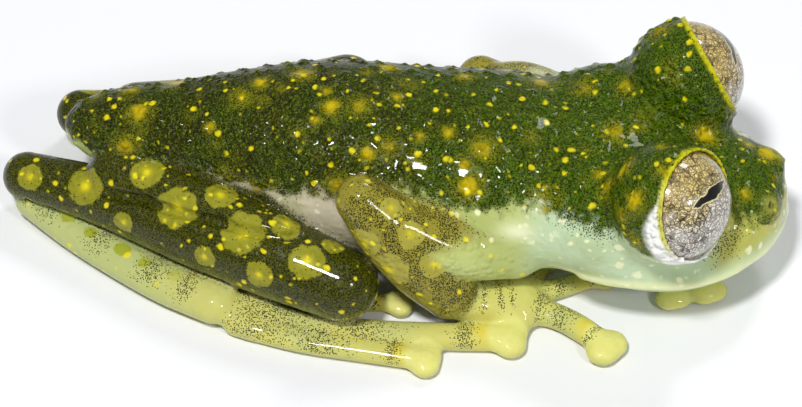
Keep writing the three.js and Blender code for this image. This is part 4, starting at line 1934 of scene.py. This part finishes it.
@dataclass(frozen=True)
class NettedEye:
    """A living eye: a silvery iris netted with brown under a clear, wet and very smooth cornea.

    Args:
        silver: colour between the net's threads.
        gold: colour of the iris's upper half.
        net: colour of the threads.
        pupil: colour of the slit.
        lining: colour of the line round the slit.
        half_slit: half length of the slit, in mm.
        half_height: half height of the slit, in mm.
        wave: how far the slit's edges waver, in mm.
        wave_per_mm: waves of the slit's edges for each mm.
        threads_per_mm: meshes of the coarse and of the fine net for each mm.
        bend: waves for each mm, and how far they bend the threads, in mm.
        cloud_per_mm, knots_per_mm: soft patches and dark knots for each mm.
    """

    silver: str = "#f6efe0"
    gold: str = "#e6cd80"
    net: str = "#2b2015"
    pupil: str = "#030303"
    lining: str = "#dcd49a"
    half_slit: float = 1.1
    half_height: float = 0.19
    wave: float = 0.045
    wave_per_mm: float = 2.2
    threads_per_mm: tuple[float, float] = (3.4, 10.0)
    bend: tuple[float, float] = (2.5, 0.4)
    cloud_per_mm: float = 1.3
    knots_per_mm: float = 8.0

    def slit_edge(self, s: Surface, place: Socket, x: Socket, y: Socket) -> Socket:
        """Measure how far places are outside the slit, a lens shape with wavy edges.

        Args:
            s: the material.
            place: places on the eye, in mm.
            x, y: places along the slit and across it, in mm.

        Returns:
            The distance, in mm.
        """
        wave = s.sway(s.noise(place, self.wave_per_mm, 1.5), -self.wave, self.wave)
        taper = s.math(Sum.SUBTRACT, 1.0, s.math(Sum.POWER, s.math(Sum.DIVIDE, x, self.half_slit), 2.0))
        half = s.times(s.most(taper, 0.0), self.half_height)
        edge = s.math(Sum.SUBTRACT, s.math(Sum.ABSOLUTE, s.math(Sum.ADD, y, wave)), half)
        beyond = s.math(Sum.SUBTRACT, s.math(Sum.ABSOLUTE, x), self.half_slit)
        return s.most(edge, beyond)

    def threads(self, s: Surface, place: Socket, cloud: Socket) -> Socket:
        """Net the iris with threads of pigment in two sizes, knotted into patches.

        Args:
            s: the material.
            place: places on the eye, in mm.
            cloud: soft noise in which the threads fade.

        Returns:
            A value that is 1 on the threads.
        """
        bend_per_mm, bend = self.bend
        bent = s.moved(place, s.scaled(s.noise(place, bend_per_mm, 4.0, 1), bend))
        coarse, small = [
            s.add("TexVoronoi", {"Vector": bent, "Scale": per_mm}, feature="DISTANCE_TO_EDGE")
            for per_mm in self.threads_per_mm
        ]
        threads = s.most(s.ramp(coarse, 0.01, 0.15, 1.0, 0.0), s.ramp(small, 0.02, 0.2, 0.9, 0.0))
        threads = s.times(threads, s.ramp(cloud, 0.35, 0.6, 0.7, 1.0))
        return s.most(threads, s.ramp(s.noise(place, self.knots_per_mm, 3.0), 0.5, 0.62, 0.0, 0.75))

    def make(self) -> bpy.types.Material:
        """Build the material; the eye's own z is its gaze and its x runs along the slit.

        Returns:
            The material.
        """
        s = Surface("netted iris under a wet cornea")
        place = s.place()
        x = s.add("SeparateXYZ", {0: place}, "X")
        y = s.add("SeparateXYZ", {0: place}, "Y")
        cloud = s.noise(place, self.cloud_per_mm, 6.0)
        upper = s.math(Sum.ADD, y, s.sway(cloud, -0.6, 0.6))
        edge = self.slit_edge(s, place, x, y)
        colour = s.blend(s.ramp(upper, -0.9, 0.6), self.silver, self.gold)
        colour = s.blend(self.threads(s, place, cloud), colour, self.net)
        colour = s.blend(s.ramp(edge, 0.02, 0.065, 1.0, 0.0), colour, self.lining)
        colour = s.blend(s.ramp(edge, -0.01, 0.02, 1.0, 0.0), colour, self.pupil)
        return s.finish(
            {
                "Base Color": colour,
                "Roughness": 0.42,
                "IOR": 1.376,
                "Coat Weight": 1.0,
                "Coat Roughness": 0.02,
                "Coat IOR": 1.376,
            }
        )


@dataclass(frozen=True)
class MattPaper:
    """Pale matt card: an even ground with a faint tooth that takes soft shadows.

    Args:
        colour, shade: the two tones of the card.
        per_metre: soft patches of the second tone for each metre.
    """

    colour: str = "#eeeef0"
    shade: str = "#e9eaed"
    per_metre: float = 25.0

    def make(self) -> bpy.types.Material:
        """Build the material.

        Returns:
            The material.
        """
        s = Surface("pale matt card")
        tooth = s.noise(s.add("TexCoord", output="Object"), self.per_metre)
        return s.finish({"Base Color": s.blend(tooth, self.colour, self.shade), "Roughness": 0.6})


# Pieces


def globe(radius: float, rings: int = 40, around: int = 64) -> tuple[list[Point], list[Face]]:
    """Make a round ball with its poles on the z axis.

    Args:
        radius: radius, in metres.
        rings: steps from pole to pole.
        around: steps round the axis.

    Returns:
        The corner places in metres, and the faces as tuples of corner numbers.
    """
    ball = [(0.0, 0.0, 1.0)]
    for row in np.linspace(0, math.pi, rings + 1)[1:-1]:
        for turn in np.linspace(0, 2 * math.pi, around, endpoint=False):
            ball.append((math.sin(row) * math.cos(turn), math.sin(row) * math.sin(turn), math.cos(row)))
    ball.append((0.0, 0.0, -1.0))
    last = len(ball) - 1
    final = last - around
    faces = []
    for k in range(around):
        n = (k + 1) % around
        faces.append((0, 1 + k, 1 + n))
        faces.append((final + k, last, final + n))
        for row in range(rings - 2):
            first = 1 + row * around
            faces.append((first + k, first + around + k, first + around + n, first + n))
    return [tuple(c * radius for c in place) for place in ball], faces


def new_piece(
    name: str, corners: list[Point], faces: list[Face], material: bpy.types.Material
) -> bpy.types.Object:
    """Add a piece to the scene.

    Args:
        name: the piece's name.
        corners: corner places, in metres.
        faces: corner numbers of each face.
        material: its finish.

    Returns:
        The piece.
    """
    mesh = bpy.data.meshes.new(name)
    mesh.from_pydata(corners, [], faces)
    mesh.materials.append(material)
    piece = bpy.data.objects.new(name, mesh)
    bpy.context.collection.objects.link(piece)
    return piece


@dataclass
class Frog:
    """The whole animal: one skin and two eyes.

    Args:
        head: sizes of the head.
        trunk: sizes of the trunk.
        warts: the warts of the back.
        thigh_fold, shank_fold: lean in degrees and depth in mm of the folds beside the shank.
    """

    head: Head = field(default_factory=Head)
    trunk: Trunk = field(default_factory=Trunk)
    warts: Tubercles = field(default_factory=Tubercles)
    thigh_fold: tuple[float, float] = (10, 0.26)
    shank_fold: tuple[float, float] = (60, 0.15)

    def flesh(self) -> FleshVolume:
        """Fill the volume of the frog's body.

        Returns:
            The volume, with the room for the eyes left open.
        """
        volume = FleshVolume()
        volume.add(*self.trunk.lumps())
        self.head.model(volume)
        for limb in (*LEGS, *ARMS):
            volume.add(*limb.forms())
        for leg in LEGS:
            volume.carve(crease(leg.thigh, leg.shank, *self.thigh_fold), softness=0.12)
            volume.carve(crease(leg.shank, leg.foot.root_strand(), *self.shank_fold), softness=0.15)
        self.head.open_lids(volume)
        volume.rest_on_floor()
        return volume

    def skin(self) -> bpy.types.Object:
        """Build the skin with its markings and warts.

        Returns:
            The piece.
        """
        flesh = self.flesh()
        points, quads = flesh.surface()
        points = flesh.settle(points, quads, rounds=2)
        normals = corner_normals(points, quads)
        body = [*self.trunk.lumps(), *self.head.lumps()]
        masks = Markings(points, normals, self.head.eye).make(body)
        # Warts stand on the green of the body; those that fall on a leg stay flat
        rough = masks["body"] * masks["dorsal"] * (1 - masks["rim"]) + 0.02 * masks["leg"]
        points = self.warts.raise_skin(points, normals, rough)
        piece = new_piece("skin", (points * MM).tolist(), quads.tolist(), MoistSkin().make())
        for name, values in masks.items():
            layer = piece.data.attributes.new(name, "FLOAT", "POINT")
            layer.data.foreach_set("value", values.astype(np.float32))
        piece.data.shade_smooth()
        nodes = [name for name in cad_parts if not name.startswith("eye")]
        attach(piece, "root")
        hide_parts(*nodes)
        return piece

    def eyeball(self, side: Side, material: bpy.types.Material) -> bpy.types.Object:
        """Build one eye, turned to its gaze.

        Args:
            side: the side of the body.
            material: the finish of the eye.

        Returns:
            The piece.
        """
        eye = self.head.eye
        name = side.name.lower()
        piece = new_piece(f"eyeball_{name}", *globe(eye.ball * MM), material)
        piece.data.shade_smooth()
        piece.matrix_world = Matrix.Translation(Vector(eye.centre(side)) * MM) @ eye.turn(side)
        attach(piece, "root")
        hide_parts(f"eye_{name}")
        return piece

    def build(self) -> None:
        """Build every piece of the frog and report it."""
        iris = NettedEye().make()
        pieces = [self.skin()] + [self.eyeball(side, iris) for side in Side]
        for piece in pieces:
            mesh = piece.data
            log.info("%s: %d corners, %d faces", piece.name, len(mesh.vertices), len(mesh.polygons))


@dataclass(frozen=True)
class SoftLamp:
    """A square soft light that points at the frog.

    Args:
        name: its name.
        place: where it hangs, in mm.
        size: length of its side, in mm.
        power: its power, in watts.
    """

    name: str
    place: Point
    size: float
    power: float

    def hang(self, aim: Point) -> None:
        """Hang the lamp up.

        Args:
            aim: the place that it points at, in mm.
        """
        data = bpy.data.lights.new(self.name, "AREA")
        data.size = self.size * MM
        data.energy = self.power
        lamp = bpy.data.objects.new(self.name, data)
        lamp.location = Vector(self.place) * MM
        lamp.rotation_euler = (Vector(aim) - Vector(self.place)).to_track_quat("-Z", "Y").to_euler()
        bpy.context.collection.objects.link(lamp)


@dataclass(frozen=True)
class Studio:
    """Pale floor, soft lights and the camera.

    Args:
        floor_half: half width of the floor, in mm.
        tent: colour of the light from all round.
        tent_strength: its strength.
        lamps: the soft lights.
        aim: the place that the lamps point at, in mm.
        azimuth: camera's direction round the frog, in degrees from its snout's side.
        elevation: camera's height over the horizon, in degrees.
        distance: camera to target, in mm.
        target: what the middle of the picture shows, in mm.
        lens: focal length over a 36 mm wide sensor, in mm.
        clip: nearest and farthest place that the camera sees, in metres.
    """

    floor_half: float = 900.0
    tent: str = "#f4f6fa"
    tent_strength: float = 0.25
    lamps: tuple[SoftLamp, ...] = (
        SoftLamp("key", (-110, 40, 270), 34, 0.62),
        SoftLamp("fill", (-150, -170, 190), 36, 0.2),
        SoftLamp("back", (160, -60, 210), 50, 0.16),
    )
    aim: Point = (0, 0, 3)
    azimuth: float = -82.0
    elevation: float = 48.0
    distance: float = 140.0
    target: Point = (-2.7, 0.0, 4.0)
    lens: float = 152.1
    clip: tuple[float, float] = (0.002, 5.0)

    def floor(self) -> None:
        """Lay the floor down under the frog."""
        half = self.floor_half * MM
        corners = [(-half, -half, 0), (half, -half, 0), (half, half, 0), (-half, half, 0)]
        piece = new_piece("floor", corners, [(0, 1, 2, 3)], MattPaper().make())

    def light(self) -> None:
        """Light the frog as in a white photographer's tent."""
        world = bpy.data.worlds.new("tent")
        world.use_nodes = True
        background = world.node_tree.nodes["Background"]
        background.inputs["Color"].default_value = linear(self.tent)
        background.inputs["Strength"].default_value = self.tent_strength
        bpy.context.scene.world = world
        # Standard shows the finishes in the colours that they are given
        bpy.context.scene.view_settings.view_transform = "Standard"
        for lamp in self.lamps:
            lamp.hang(self.aim)

    def camera(self) -> None:
        """Place the camera at the photograph's viewing angle."""
        a, e = math.radians(self.azimuth), math.radians(self.elevation)
        back = Vector((math.sin(a) * math.cos(e), -math.cos(a) * math.cos(e), math.sin(e)))
        data = bpy.data.cameras.new("camera")
        data.lens = self.lens
        data.clip_start, data.clip_end = self.clip
        camera = bpy.data.objects.new("camera", data)
        camera.location = (Vector(self.target) + back * self.distance) * MM
        camera.rotation_mode = "QUATERNION"
        camera.rotation_quaternion = (-back).to_track_quat("-Z", "Y")
        bpy.context.collection.objects.link(camera)
        bpy.context.scene.camera = camera

    def build(self) -> None:
        """Set up the whole studio."""
        self.floor()
        self.light()
        self.camera()
        log.info("studio: camera at azimuth %.0f, elevation %.0f", self.azimuth, self.elevation)


def main() -> None:
    """Build the frog, then the studio."""
    logging.basicConfig(level=logging.INFO, format="%(name)s: %(message)s")
    Frog().build()
    Studio().build()


if __name__ == "__main__":
    main()
